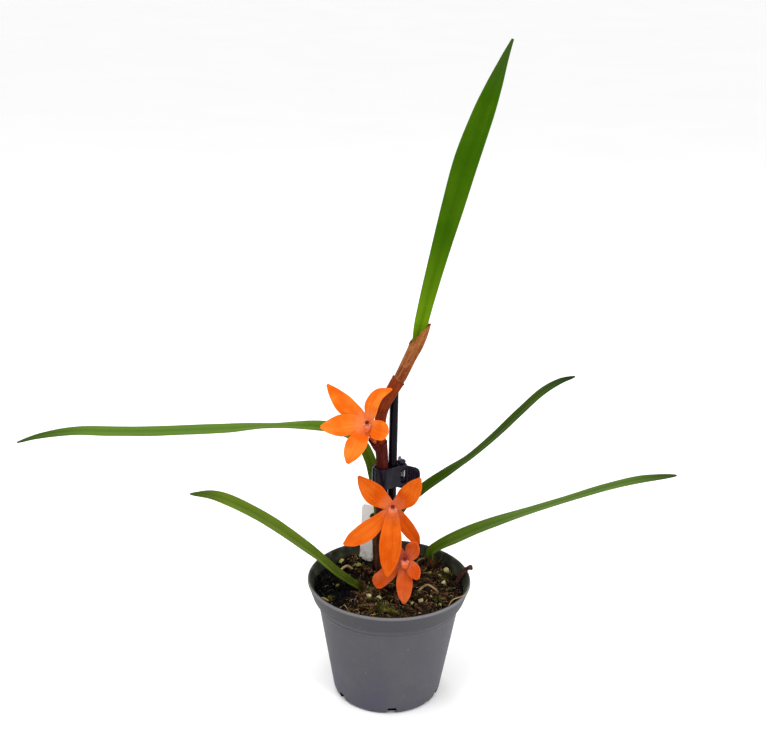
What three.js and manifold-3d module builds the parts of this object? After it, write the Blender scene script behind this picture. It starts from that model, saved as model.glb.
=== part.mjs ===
// Potted orchid with three open blooms: a grey nursery pot, its soil, five leafy growths in papery sheaths,
// a plant stake with a spring clip that holds the flowering stem to it, and a blank stick-in label.
// Millimetres, +Z up. The origin is the centre of the pot's flat bottom.

import * as THREE from "three";
import { mergeVertices } from "three/addons/utils/BufferGeometryUtils.js";
import Module from "manifold-3d";

const wasm = await Module();
wasm.setup();

// Driving dimensions
const GAP = 0.3; // clearance between neighbouring pieces

const POT_HEIGHT = 45.4;
const RIM_RADIUS = 30;
const COLLAR_HEIGHT = 9.3;
const COLLAR_LOW_RADIUS = 27.95;
const BODY_TOP_RADIUS = 25.7;
const BODY_LOW_RADIUS = 20.1;
const POT_WALL = 1.0;
const POT_FLOOR = 2.0;
const FOOT_PAD_RADIUS = 11;
const FOOT_RING_RADIUS = 17.2;
const DRAIN_SLOTS = 6;
const DRAIN_WIDTH = 3.4;
const DRAIN_HEIGHT = 2.3;

const SOIL_LEVEL = 41.2;
const SOIL_CHIPS = 26;
const SOIL_PELLETS = 15;

const LEAF_THICK = 0.9;
const TEPAL_THICK = 0.7;

const STAKE_RADIUS = 1.5;
const STAKE_AT = [0.3, 7.6];
const STAKE_LOW = 12;
const STAKE_TOP = 116;

const CLIP_LOW = 78.6;
const CLIP_HEIGHT = 8;
const CLIP_WALL = 1.1;
const CLIP_TURN = THREE.MathUtils.degToRad(28.9); // heading of the clip's finger side about the stake
const HINGE_TO_STAKE = 3.6;
const STEM_TO_STAKE = 4.34;
const JAW_BORE = 2.5; // inner radius of the jaws round the stem
const JAW_REACH = 2.35; // middle of a jaw wall beside the stake, from the clip's centre line
const PAD_SPLAY = THREE.MathUtils.degToRad(55);
const PAD_LENGTH = 6.3;
const PAD_CORNER = 3.2; // side of the square prism that takes a pad's corner off
const PIN_RADIUS = 0.6;
const KNUCKLE_RADIUS = 1.65;
const KNUCKLE_THICK = 1.1;
const PIN_HEAD_THICK = 1.2;
const WINDOW_WIDTH = 2.2; // of the opening in a wall that shows the spring
const WINDOW_SHIFT = 0.6; // of its middle, from the pin towards the jaws
const COIL_RADIUS = 1.35;

const LABEL_WIDTH = 7;
const LABEL_THICK = 0.6;
const LABEL_LENGTH = 30;

// Materials
function material(color, roughness, metalness = 0) {
  return new THREE.MeshStandardMaterial({ color, roughness, metalness });
}

const potPlastic = material(0x5d5c62, 0.55);
const blackPlastic = material(0x15131a, 0.35);
const springSteel = material(0xb8b8bc, 0.3, 1);
const labelPlastic = material(0xe9e8e6, 0.5);
const soilMix = material(0x2c2319, 0.95);
const sheathPaper = material(0x7a4330, 0.8);
const leafGreen = material(0x557a1e, 0.4);
const tepalOrange = material(0xee6c14, 0.5);
const lipPink = material(0xe8b3a4, 0.5);

// Solids
function toSolid(geometry) {
  const bare = geometry.clone();
  bare.deleteAttribute("normal");
  bare.deleteAttribute("uv");
  const merged = mergeVertices(bare, 1e-4);
  return new wasm.Manifold(
    new wasm.Mesh({
      numProp: 3,
      vertProperties: new Float32Array(merged.attributes.position.array),
      triVerts: new Uint32Array(merged.index.array),
    }),
  );
}

function toGeometry(solid) {
  const { vertProperties, triVerts } = solid.getMesh();
  const geometry = new THREE.BufferGeometry();
  geometry.setAttribute("position", new THREE.BufferAttribute(new Float32Array(vertProperties), 3));
  geometry.setIndex(new THREE.BufferAttribute(new Uint32Array(triVerts), 1));
  return geometry;
}

function joined(solids) {
  return solids.reduce((whole, next) => whole.add(next));
}

function cut(solid, tools) {
  return tools.reduce((rest, tool) => rest.subtract(tool), solid);
}

// Drops the loose scraps that cuts and joins can leave beside the main body.
function mainBody(solid) {
  const bodies = solid.decompose();
  return bodies.reduce((best, next) => (next.volume() > best.volume() ? next : best));
}

function seededRandom(seed) {
  let state = seed;
  return () => {
    state = (state * 1664525 + 1013904223) % 4294967296;
    return state / 4294967296;
  };
}

const vec = (p) => new THREE.Vector3(...p);

function lerpRows(rows, column, t) {
  const place = t * (rows.length - 1);
  const low = Math.min(Math.floor(place), rows.length - 2);
  return THREE.MathUtils.lerp(rows[low][column], rows[low + 1][column], place - low);
}

// A round stalk of changing thickness. Each row is a point of its centre line and the radius there.
function stalk(rows, { sides = 8, steps = 2, grow = 0 } = {}) {
  const line = new THREE.CatmullRomCurve3(rows.map((row) => vec(row)), false, "centripetal");
  const count = (rows.length - 1) * steps;
  const positions = [];
  const index = [];
  const side = new THREE.Vector3();
  const across = new THREE.Vector3(0, 1, 0);
  for (let i = 0; i <= count; i++) {
    const t = i / count;
    const centre = line.getPoint(t);
    const along = line.getTangent(t);
    const radius = lerpRows(rows, 3, t) + grow;
    const start = i === 0 ? -grow : 0;
    const end = i === count ? grow : 0;
    centre.addScaledVector(along, start + end);
    side.crossVectors(across, along).normalize();
    const other = new THREE.Vector3().crossVectors(along, side);
    for (let k = 0; k < sides; k++) {
      const angle = (k / sides) * 2 * Math.PI;
      const p = centre.clone();
      p.addScaledVector(side, radius * Math.cos(angle));
      p.addScaledVector(other, radius * Math.sin(angle));
      positions.push(p.x, p.y, p.z);
    }
    for (let k = 0; i < count && k < sides; k++) {
      const a = i * sides + k;
      const b = i * sides + ((k + 1) % sides);
      index.push(a, b, b + sides, a, b + sides, a + sides);
    }
  }
  for (let k = 1; k < sides - 1; k++) {
    const last = count * sides;
    index.push(0, k + 1, k, last, last + k, last + k + 1);
  }
  return indexed(positions, index);
}

function indexed(positions, index) {
  const geometry = new THREE.BufferGeometry();
  geometry.setAttribute("position", new THREE.Float32BufferAttribute(positions, 3));
  geometry.setIndex(index);
  return geometry;
}

// A leaf or tepal. Each row is a point of its middle, the way its face looks there, its width, and how
// deeply it is folded along the midrib, which lies as far under that middle as the edges lie over it.
// Both faces are split into triangles alike.
function blade(rows, { thick = LEAF_THICK, steps = 18, columns = 4, grow = 0 } = {}) {
  const midrib = new THREE.CatmullRomCurve3(rows.map((row) => vec(row)), false, "centripetal");
  const faces = [[], []];
  const positions = [];
  for (let i = 0; i <= steps; i++) {
    const t = i / steps;
    const centre = midrib.getPoint(t);
    const along = midrib.getTangent(t);
    const start = i === 0 ? -grow : 0;
    const end = i === steps ? grow : 0;
    centre.addScaledVector(along, start + end);
    const looks = new THREE.Vector3(lerpRows(rows, 3, t), lerpRows(rows, 4, t), lerpRows(rows, 5, t));
    const side = new THREE.Vector3().crossVectors(along, looks).normalize();
    const up = new THREE.Vector3().crossVectors(side, along).normalize();
    const half = lerpRows(rows, 6, t) / 2 + grow;
    const fold = lerpRows(rows, 7, t);
    for (const face of [0, 1]) {
      for (let j = 0; j <= columns; j++) {
        const u = (2 * j) / columns - 1;
        const lift = fold * (half - grow) * (Math.abs(u) ** 1.3 - 0.5);
        const skin = (face === 0 ? 1 : -1) * (thick / 2 + grow);
        const p = centre.clone();
        p.addScaledVector(side, half * u);
        p.addScaledVector(up, lift + skin);
        faces[face].push(positions.length / 3);
        positions.push(p.x, p.y, p.z);
      }
    }
  }
  const index = [];
  const row = columns + 1;
  const quad = (a, b, c, d) => index.push(a, b, c, a, c, d);
  for (let i = 0; i < steps; i++) {
    for (let j = 0; j < columns; j++) {
      const [a, b, c, d] = [i * row + j, i * row + j + 1, (i + 1) * row + j + 1, (i + 1) * row + j];
      quad(faces[0][a], faces[0][b], faces[0][c], faces[0][d]);
      index.push(faces[1][a], faces[1][c], faces[1][b], faces[1][a], faces[1][d], faces[1][c]);
    }
    const [low, high] = [i * row, (i + 1) * row];
    quad(faces[0][low], faces[0][high], faces[1][high], faces[1][low]);
    quad(faces[0][low + columns], faces[1][low + columns], faces[1][high + columns], faces[0][high + columns]);
  }
  for (let j = 0; j < columns; j++) {
    const last = steps * row + j;
    quad(faces[0][j], faces[1][j], faces[1][j + 1], faces[0][j + 1]);
    quad(faces[0][last], faces[0][last + 1], faces[1][last + 1], faces[1][last]);
  }
  return indexed(positions, index);
}

// Pot
function potGeometry() {
  const collarLow = POT_HEIGHT - COLLAR_HEIGHT;
  const profile = [
    [0, 0],
    [FOOT_PAD_RADIUS, 0],
    [FOOT_PAD_RADIUS + 0.5, 0.8],
    [FOOT_RING_RADIUS - 0.5, 0.8],
    [FOOT_RING_RADIUS, 0],
    [BODY_LOW_RADIUS - 1.7, 0],
    [BODY_LOW_RADIUS - 0.5, 0.5],
    [BODY_LOW_RADIUS, 1.8],
    [BODY_TOP_RADIUS, collarLow - 0.4],
    [BODY_TOP_RADIUS + 0.5, collarLow + 0.4],
    [COLLAR_LOW_RADIUS, collarLow + 2.8],
    [RIM_RADIUS - 0.25, POT_HEIGHT - 1.3],
    [RIM_RADIUS, POT_HEIGHT - 0.8],
    [RIM_RADIUS - 0.2, POT_HEIGHT - 0.1],
    [RIM_RADIUS - 0.6, POT_HEIGHT],
    [RIM_RADIUS - 1.25, POT_HEIGHT - 0.3],
    [COLLAR_LOW_RADIUS - POT_WALL - 0.1, collarLow + 2.9],
    [BODY_TOP_RADIUS - POT_WALL, collarLow - 0.6],
    [BODY_LOW_RADIUS - POT_WALL - 0.1, POT_FLOOR + 0.6],
    [BODY_LOW_RADIUS - POT_WALL - 0.9, POT_FLOOR],
    [0, POT_FLOOR],
  ];
  const points = profile.map(([r, z]) => new THREE.Vector2(r, z));
  const bowl = new THREE.LatheGeometry(points, 36);
  bowl.rotateX(Math.PI / 2);
  const slots = [];
  for (let i = 0; i < DRAIN_SLOTS; i++) {
    const turn = (i / DRAIN_SLOTS) * 2 * Math.PI + 0.11;
    slots.push(drainSlot(turn, DRAIN_WIDTH, DRAIN_HEIGHT));
    slots.push(drainSlot(turn - 0.3, DRAIN_WIDTH * 0.7, DRAIN_HEIGHT * 0.45));
  }
  return toGeometry(mainBody(cut(toSolid(bowl), slots.map(toSolid))));
}

// A notch in the pot's bottom edge, as the water's way out. Turn 0 is the front, where Y is lowest.
function drainSlot(turn, width, height) {
  const depth = 4.4;
  const slot = new THREE.BoxGeometry(width, depth, 2 * height);
  slot.translate(0, -(BODY_LOW_RADIUS + 1.5 - depth / 2 + 0.2), 0);
  slot.rotateZ(turn);
  return slot;
}

// Growths: where each stands and how it rises
const stemRows = [
  [-2.6, 4.4, 34, 2.5],
  [-2.7, 4.5, 50, 2.5],
  [-2.9, 4.9, 63, 2.45],
  [-2.95, 4.95, 64, 2.15],
  [-3.5, 5.5, 77, 2.2],
  [-3.5, 5.5, 83.5, 2.2],
  [-3.6, 5.5, 90, 2.2],
  [-4.3, 5.4, 97, 2.4],
  [-4.4, 5.3, 98, 2.05],
  [-4.4, 4.8, 104.9, 2.05],
  [-3.2, 4.1, 110.6, 2.15],
  [0.1, 3.3, 117.6, 2.35],
  [2, 3.2, 121, 2.45],
  [2.4, 3.2, 121.8, 2.1],
  [5.3, 3.5, 128.3, 2.2],
  [7.5, 4, 133.2, 2.5],
  [8.9, 4, 138.6, 2.85],
  [9.4, 4, 141.4, 2.9],
];

const bractRows = {
  top: [[-4, 5.2, 92, 1.2], [-5.7, 4.2, 95.5, 1.7], [-7.4, 3, 98.8, 1.5]],
  middle: [[-2.9, 4.8, 65, 1.2], [-2.5, 2.7, 67, 1.6], [-1.9, 0.8, 69, 1.4]],
};

const sheathRows = {
  left_high: [[-4, 14.5, 35, 2.2], [-4.4, 14.8, 50, 2.2], [-4.8, 15.1, 57, 2.2], [-5.2, 15.4, 63, 2.5]],
  right_high: [[1.9, 14, 35, 2.2], [1.8, 15, 48, 2.2], [1.7, 15.8, 55, 2.2], [2.1, 16.3, 60.5, 2.5]],
  left_low: [[-6.2, 0.2, 35, 1.7], [-7.7, -0.4, 38, 2], [-9.6, -1.25, 40.7, 2.1], [-11.6, -2.2, 42.6, 2.3]],
  right_low: [[14.2, 14.4, 35, 1.9], [15, 15.1, 40, 2], [15.5, 15.6, 43.6, 2.2], [15.7, 15.8, 46, 2.4]],
};

// Leaves: midrib point, way the face looks, width, fold
const leafRows = {
  leaf_tall: [
    [7.9, 4, 134, -0.25, -0.95, 0.1, 3.7, 0.3],
    [8.9, 4.2, 140.2, -0.2, -0.95, 0.1, 4.7, 0.3],
    [11.1, 4.8, 150.8, -0.15, -0.95, 0.1, 5.4, 0.25],
    [14.8, 6, 166.5, -0.1, -0.95, 0.15, 6.5, 0.2],
    [18.5, 7, 181.4, 0, -0.95, 0.15, 7.7, 0.18],
    [22.3, 7.5, 196.3, 0.1, -0.95, 0.15, 8.4, 0.15],
    [26.9, 7, 210.8, 0.15, -0.95, 0.1, 7.4, 0.15],
    [30.1, 6.2, 220.4, 0.2, -0.95, 0.1, 5.4, 0.15],
    [33.3, 5.4, 229.7, 0.2, -0.95, 0.1, 2.4, 0.1],
    [35.2, 5, 234.7, 0.2, -0.95, 0.1, 0.8, 0.1],
  ],
  leaf_left_high: [
    [-4.9, 15.2, 58.5, 0.75, -0.65, 0.1, 2.8, 0.4],
    [-5.5, 15.7, 67.5, 0.75, -0.65, 0.15, 3.9, 0.5],
    [-6.9, 16, 78.5, 0.65, -0.75, 0.2, 4.8, 0.45],
    [-8.7, 16, 85.5, 0.62, -0.65, 0.4, 5.2, 0.45],
    [-12.8, 16, 92.6, 0.5, -0.4, 0.7, 5.6, 0.4],
    [-19.4, 16, 96.3, 0.25, -0.3, 0.9, 6, 0.3],
    [-26, 16, 97.5, 0.1, -0.22, 0.95, 6.4, 0.25],
    [-44.7, 16.5, 97.1, 0, 0.14, 1, 7.3, 0.15],
    [-61.1, 17, 95.4, 0, -0.05, 1, 8.2, 0.12],
    [-75.2, 17.3, 94.3, 0, -0.06, 1, 8.4, 0.12],
    [-89.6, 18, 93.1, 0, -0.06, 1, 8.4, 0.12],
    [-103.9, 18.3, 92.6, 0, -0.06, 1, 8.2, 0.12],
    [-118.1, 18, 92.5, 0, -0.05, 1, 7.4, 0.12],
    [-131.8, 17.5, 90.3, -0.1, -0.05, 1, 5, 0.1],
    [-139.6, 17, 87.9, -0.2, -0.05, 1, 1, 0.1],
  ],
  leaf_left_low: [
    [-9.5, -1.2, 40.5, 0.6, -0.3, 0.65, 3, 0.6],
    [-14.6, -3.5, 45, 0.6, -0.22, 0.68, 4, 0.5],
    [-19.6, -6, 50.2, 0.6, -0.15, 0.7, 5.2, 0.4],
    [-25.8, -9, 57.7, 0.55, -0.08, 0.75, 6.8, 0.3],
    [-32, -12, 64.4, 0.52, -0.07, 0.8, 7.8, 0.22],
    [-40, -15, 72.1, 0.5, -0.07, 0.82, 8.2, 0.18],
    [-47.9, -18, 78.7, 0.42, -0.07, 0.86, 8.2, 0.16],
    [-55.6, -20, 83.6, 0.32, -0.06, 0.92, 7.6, 0.15],
    [-61, -21.2, 85.9, 0.2, -0.06, 0.95, 5.6, 0.12],
    [-67.7, -22.5, 86.7, 0.05, -0.1, 0.98, 1, 0.1],
  ],
  leaf_right_high: [
    [1.8, 16, 56, -0.75, -0.6, 0.2, 2.8, 0.4],
    [4.4, 16.8, 64.8, -0.75, -0.5, 0.4, 4, 0.5],
    [12.2, 18, 72.6, -0.7, -0.35, 0.6, 5.4, 0.45],
    [21.1, 20, 78.9, -0.66, -0.14, 0.7, 6.6, 0.25],
    [29.6, 22, 84.7, -0.66, 0.08, 0.74, 7.6, 0.2],
    [38.6, 24, 92.5, -0.66, 0.04, 0.74, 8.2, 0.16],
    [47.4, 26, 101.2, -0.64, 0.02, 0.75, 8, 0.15],
    [55.9, 28, 109.1, -0.55, -0.02, 0.82, 7, 0.15],
    [62.6, 29, 113.2, -0.35, -0.06, 0.92, 4.6, 0.12],
    [67.7, 30, 114.7, -0.2, -0.12, 0.97, 1, 0.1],
  ],
  leaf_right_low: [
    [15.7, 15.8, 43.6, -0.7, -0.6, 0.4, 3.2, 0.6],
    [15.9, 15.8, 47.6, -0.62, -0.5, 0.6, 4.2, 0.6],
    [18.6, 15.7, 50.1, -0.52, -0.36, 0.75, 5, 0.5],
    [24.4, 15.3, 53.6, -0.5, -0.28, 0.8, 6.4, 0.4],
    [33, 14.5, 58.5, -0.44, -0.1, 0.86, 7.8, 0.25],
    [44.6, 13, 64.2, -0.4, 0.08, 0.9, 8.2, 0.18],
    [56.1, 12, 69.2, -0.38, 0.18, 0.92, 8.2, 0.15],
    [67.5, 11, 74, -0.36, 0.19, 0.93, 8.2, 0.14],
    [78.7, 10, 78.6, -0.3, 0.15, 0.95, 8.2, 0.12],
    [89.8, 9, 82.3, -0.2, 0.1, 0.97, 7.4, 0.12],
    [97.5, 8.3, 84, -0.12, 0.08, 0.98, 5.2, 0.12],
    [103.4, 8, 85, -0.05, 0.05, 0.99, 1, 0.1],
  ],
};

// Blooms: the hub, the way it faces, the way its lip points, its stalk, and each tepal's midrib points
// with the width there
const blooms = {
  top: {
    hub: [-9, -2, 106.1],
    faces: [-0.35, -0.85, 0.4],
    tongue: [0.02, -0.9, 0.36],
    stalk: [[-7.35, 2.7, 99.2, 0.9], [-8.6, 1.2, 102.6, 1], [-9, -1.2, 105.6, 1.3]],
    tepals: [
      [[-12.9, -0.4, 108.6, 6], [-17, 1.2, 111.6, 6.8], [-20.8, 3.4, 115, 4.4], [-23.4, 5.1, 117.6, 0.9]],
      [[-13, -2, 105.6, 6.4], [-17.7, -2.2, 105, 7.8], [-22, -1.4, 104.2, 5.2], [-25.4, -0.2, 103.5, 1]],
      [[-10.5, -5, 103.2, 5.4], [-12.3, -8.3, 100.5, 7.6], [-14, -10.8, 97.5, 5.6], [-15.2, -12.7, 95.1, 1]],
      [[-6.8, -5.4, 106, 5], [-4.8, -9.3, 106.3, 6.8], [-3, -11.6, 106.6, 6.2], [-1.5, -13.3, 106.9, 3.8]],
      [[-7.9, -2.9, 109.6, 4.2], [-7.3, -3.6, 113.4, 5.2], [-5.2, -3.2, 117, 4.4], [-0.6, -0.6, 118.4, 0.9]],
    ],
  },
  middle: {
    hub: [0.7, -5, 75.8],
    faces: [0, -0.92, 0.38],
    tongue: [0, -0.92, 0.38],
    stalk: [[-1.7, 0.45, 69.5, 0.9], [-0.8, -1.6, 72, 1], [0.5, -4.2, 75.3, 1.3]],
    tepals: [
      [[-2.6, -5.8, 78.2, 5.6], [-6, -6.8, 81.3, 7.6], [-9.4, -7.1, 85.2, 5], [-11.6, -7, 88.1, 0.9]],
      [[3.4, -5.9, 78, 5.4], [5.9, -6.9, 80.8, 7.4], [8.4, -7.2, 84.9, 5.4], [10.1, -7.1, 87.9, 1]],
      [[-3.4, -7.4, 71.9, 4.8], [-8.4, -10, 68.3, 6.8], [-13, -11.6, 65.8, 5.2], [-16.3, -12.6, 64.2, 1]],
      [[0.5, -8.4, 70.8, 6], [0.2, -12.2, 64.8, 7.9], [-0.2, -14.6, 58.8, 6], [-0.6, -16.3, 53.9, 1]],
      [[3.4, -5.5, 72, 4.2], [6, -5.4, 68, 5], [8.8, -4.2, 63.6, 4], [10.6, -2.4, 60.2, 1]],
    ],
  },
  low: {
    hub: [5.3, -9, 57.2],
    faces: [-0.2, -0.85, 0.5],
    tongue: [0.04, -0.85, 0.46],
    stalk: [[5.2, -0.6, 34, 0.9], [5.4, -2, 44, 0.9], [5.5, -5, 52, 1], [5.3, -8.3, 56.6, 1.2]],
    tepals: [
      [[2.2, -9.8, 54.6, 4.2], [-0.7, -10.4, 51.8, 5.6], [-3.6, -10.6, 49.2, 5.6], [-5.6, -10.3, 47.9, 3.6]],
      [[5.4, -12.3, 54.6, 4.2], [5.5, -15, 50.9, 5.8], [5.5, -17, 47.4, 4.6], [5.5, -18.4, 44.6, 1]],
      [[7, -12, 57, 3.6], [8.6, -14.4, 55.8, 4.8], [9.4, -16.4, 54.8, 3.6], [9.9, -18, 54.2, 1.2]],
      [[6.9, -10.6, 59.7, 4.4], [8, -11.8, 62.1, 5.8], [8.8, -12.6, 64.3, 4.6], [9.3, -13, 66, 1.2]],
      [[3.3, -8, 59.2, 3.8], [1.2, -6.6, 60.8, 4.8], [-0.5, -5.2, 62, 3.8], [-1.7, -3.8, 62.8, 1]],
    ],
  },
};

function leafGeometry(name) {
  return blade(leafRows[name]);
}

function leafTool(name) {
  return toSolid(blade(leafRows[name], { grow: 1.5 * GAP }));
}

// A growth's base: papery sheath round the foot of its leaf, which stands in the sheath's mouth.
function sheathGeometry(rows, leaf) {
  const sheath = toSolid(stalk(rows, { sides: 10, steps: 2 }));
  return toGeometry(mainBody(sheath.subtract(leafTool(leaf))));
}

// The flowering stem in its overlapping sheaths, with the bracts that two of the blooms come out of.
// The topmost sheath ends in a slanted mouth, higher on its right side.
function stemGeometry() {
  const parts = [stalk(stemRows, { sides: 10, steps: 2 })];
  for (const rows of Object.values(bractRows)) {
    parts.push(stalk(rows, { sides: 8 }));
  }
  const mouth = new THREE.BoxGeometry(14, 14, 14);
  mouth.translate(0, 0, 7);
  mouth.rotateY(-0.75);
  mouth.translate(8.7, 4, 137.2);
  const stem = joined(parts.map(toSolid));
  return toGeometry(mainBody(cut(stem, [toSolid(mouth), leafTool("leaf_tall")])));
}

// One bloom: five tepals grown together at the hub, with the stalk behind them.
function bloomGeometry({ hub, faces, stalk: rows, tepals }) {
  const parts = [toSolid(stalk(rows, { sides: 8 }))];
  const core = new THREE.IcosahedronGeometry(1.5, 1);
  core.translate(...hub);
  parts.push(toSolid(core));
  for (const points of tepals) {
    const root = [...hub, ...faces, 2.6, 0.1];
    const midrib = points.map(([x, y, z, width]) => [x, y, z, ...faces, width, 0.16]);
    const petal = blade([root, ...midrib], { thick: TEPAL_THICK, steps: 8 });
    parts.push(toSolid(petal));
  }
  return toGeometry(mainBody(joined(parts)));
}

// The lip and column in front of a bloom's hub: a short stub that carries a small scooped tongue.
function lipGeometry({ hub, tongue: way }) {
  const out = vec(way).normalize();
  const down = new THREE.Vector3(0, 0, -1).addScaledVector(out, out.z).normalize();
  const at = (forward, below) => vec(hub).addScaledVector(out, forward).addScaledVector(down, below).toArray();
  const column = stalk([[...at(2, 0), 0.8], [...at(3, 0), 0.95], [...at(3.9, 0.3), 0.7]], { sides: 8 });
  const tongue = blade(
    [
      [...at(2.7, 0.2), ...way, 1.4, 0.3],
      [...at(3.1, 1.2), ...way, 2.6, 0.5],
      [...at(3.7, 2.5), ...way, 2.2, 0.4],
      [...at(4.5, 3.4), ...way, 0.9, 0.2],
    ],
    { thick: 0.6, steps: 6 },
  );
  return toGeometry(mainBody(joined([column, tongue].map(toSolid))));
}

// Stake
function stakeGeometry(grow = 0) {
  const r = STAKE_RADIUS + grow;
  const profile = [[0, STAKE_LOW - grow], [r * 0.4, STAKE_LOW - grow], [r, STAKE_LOW + 5]];
  profile.push([r, STAKE_TOP - 1.2], [r * 0.6, STAKE_TOP - 0.2], [0, STAKE_TOP]);
  const stake = new THREE.LatheGeometry(profile.map(([x, z]) => new THREE.Vector2(x, z)), 12);
  stake.rotateX(Math.PI / 2);
  stake.translate(...STAKE_AT, 0);
  return stake;
}

// Clip: in its own plane, u runs from the hinge to the jaw tips and w to the front half's side.
const hingeAt = [
  STAKE_AT[0] + HINGE_TO_STAKE * Math.cos(CLIP_TURN),
  STAKE_AT[1] + HINGE_TO_STAKE * Math.sin(CLIP_TURN),
];

function clipPlace(geometry) {
  geometry.rotateZ(CLIP_TURN + Math.PI);
  geometry.translate(...hingeAt, 0);
  return geometry;
}

// The middle of one half's wall, from the finger pad past the spring and the stake, round the stem.
function clipWallLine() {
  const bulge = HINGE_TO_STAKE + STEM_TO_STAKE;
  const radius = JAW_BORE + CLIP_WALL / 2;
  const line = [
    [-PAD_LENGTH * Math.cos(PAD_SPLAY), JAW_REACH + PAD_LENGTH * Math.sin(PAD_SPLAY)],
    [-PAD_LENGTH * 0.45 * Math.cos(PAD_SPLAY) - 0.3, JAW_REACH + PAD_LENGTH * 0.45 * Math.sin(PAD_SPLAY)],
    [-0.4, JAW_REACH + 0.15],
    [0.8, JAW_REACH],
    [HINGE_TO_STAKE + 1.1, JAW_REACH],
  ];
  for (const degrees of [118, 92, 66, 42, 22]) {
    const angle = THREE.MathUtils.degToRad(degrees);
    line.push([bulge + radius * Math.cos(angle), radius * Math.sin(angle)]);
  }
  line.push([bulge + radius, GAP / 2 + 0.1]);
  return line.map(([u, w]) => new THREE.Vector2(u, w));
}

function thickened(line, wall) {
  const outer = [];
  const inner = [];
  line.forEach((p, i) => {
    const before = line[Math.max(i - 1, 0)];
    const after = line[Math.min(i + 1, line.length - 1)];
    const across = after.clone().sub(before).normalize().rotateAround(new THREE.Vector2(), Math.PI / 2);
    outer.push(p.clone().addScaledVector(across, wall / 2));
    inner.unshift(p.clone().addScaledVector(across, -wall / 2));
  });
  return new THREE.Shape([...outer, ...inner]);
}

function upright(shape, low, height) {
  const geometry = new THREE.ExtrudeGeometry(shape, { depth: height, bevelEnabled: false, curveSegments: 6 });
  geometry.translate(0, 0, low);
  return geometry;
}

// Prisms that take the two outer corners off a finger pad.
function padCorners() {
  return [CLIP_LOW, CLIP_LOW + CLIP_HEIGHT].map((z) => {
    const prism = new THREE.BoxGeometry(PAD_CORNER, 6, PAD_CORNER);
    prism.rotateY(Math.PI / 4);
    prism.rotateZ(Math.PI - PAD_SPLAY);
    prism.translate(-PAD_LENGTH * Math.cos(PAD_SPLAY), JAW_REACH + PAD_LENGTH * Math.sin(PAD_SPLAY), z);
    return prism;
  });
}

// One half of the clip. The front half's knuckles lie outside the back half's on the pin.
function clipHalf(front) {
  const wall = toSolid(upright(thickened(clipWallLine(), CLIP_WALL), CLIP_LOW, CLIP_HEIGHT));
  const arm = new THREE.Shape();
  arm.absarc(0, 0, KNUCKLE_RADIUS, Math.PI, 2 * Math.PI);
  arm.lineTo(KNUCKLE_RADIUS, JAW_REACH);
  arm.lineTo(-KNUCKLE_RADIUS + 0.9, JAW_REACH);
  arm.lineTo(-KNUCKLE_RADIUS, JAW_REACH - 0.9);
  const inset = front ? 0 : KNUCKLE_THICK + GAP;
  const lows = [CLIP_LOW + inset, CLIP_LOW + CLIP_HEIGHT - inset - KNUCKLE_THICK];
  const knuckles = lows.map((low) => toSolid(upright(arm, low, KNUCKLE_THICK)));
  const window = new THREE.BoxGeometry(WINDOW_WIDTH, 4, CLIP_HEIGHT - 2 * (inset + KNUCKLE_THICK + 0.1));
  window.translate(WINDOW_SHIFT, JAW_REACH + 1, CLIP_LOW + CLIP_HEIGHT / 2);
  const bore = new THREE.CylinderGeometry(PIN_RADIUS + GAP, PIN_RADIUS + GAP, 3 * CLIP_HEIGHT, 12);
  bore.rotateX(Math.PI / 2);
  bore.translate(0, 0, CLIP_LOW);
  const half = mainBody(cut(joined([wall, ...knuckles]), [bore, window, ...padCorners()].map(toSolid)));
  return clipPlace(toGeometry(front ? half : half.mirror([0, 1, 0])));
}

// The pivot pin, with a wide domed head at each end.
function pinGeometry() {
  const middle = CLIP_LOW + CLIP_HEIGHT / 2;
  const neck = CLIP_HEIGHT / 2 + GAP;
  const top = neck + PIN_HEAD_THICK;
  const head = KNUCKLE_RADIUS;
  const upper = [[PIN_RADIUS, neck], [head, neck], [head, top - 0.5], [head - 0.5, top], [0, top]];
  const profile = [...upper.map(([r, z]) => [r, -z]).reverse(), ...upper];
  const pin = new THREE.LatheGeometry(profile.map(([r, z]) => new THREE.Vector2(r, middle + z)), 16);
  pin.rotateX(Math.PI / 2);
  return clipPlace(pin);
}

// The closely wound spring on the pin, between the back half's knuckles: one ridge for each turn.
function springGeometry() {
  const low = CLIP_LOW + 2 * (KNUCKLE_THICK + GAP);
  const high = CLIP_LOW + CLIP_HEIGHT - 2 * (KNUCKLE_THICK + GAP);
  const turns = 4;
  const pitch = (high - low) / turns;
  const inner = PIN_RADIUS + GAP;
  const profile = [[inner, low]];
  for (let i = 0; i < turns; i++) {
    profile.push([COIL_RADIUS - 0.2, low + (i + 0.05) * pitch], [COIL_RADIUS, low + (i + 0.5) * pitch]);
  }
  profile.push([COIL_RADIUS - 0.2, high], [inner, high], [inner, low]);
  const spring = new THREE.LatheGeometry(profile.map(([x, z]) => new THREE.Vector2(x, z)), 12);
  spring.rotateX(Math.PI / 2);
  return clipPlace(spring);
}

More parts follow.
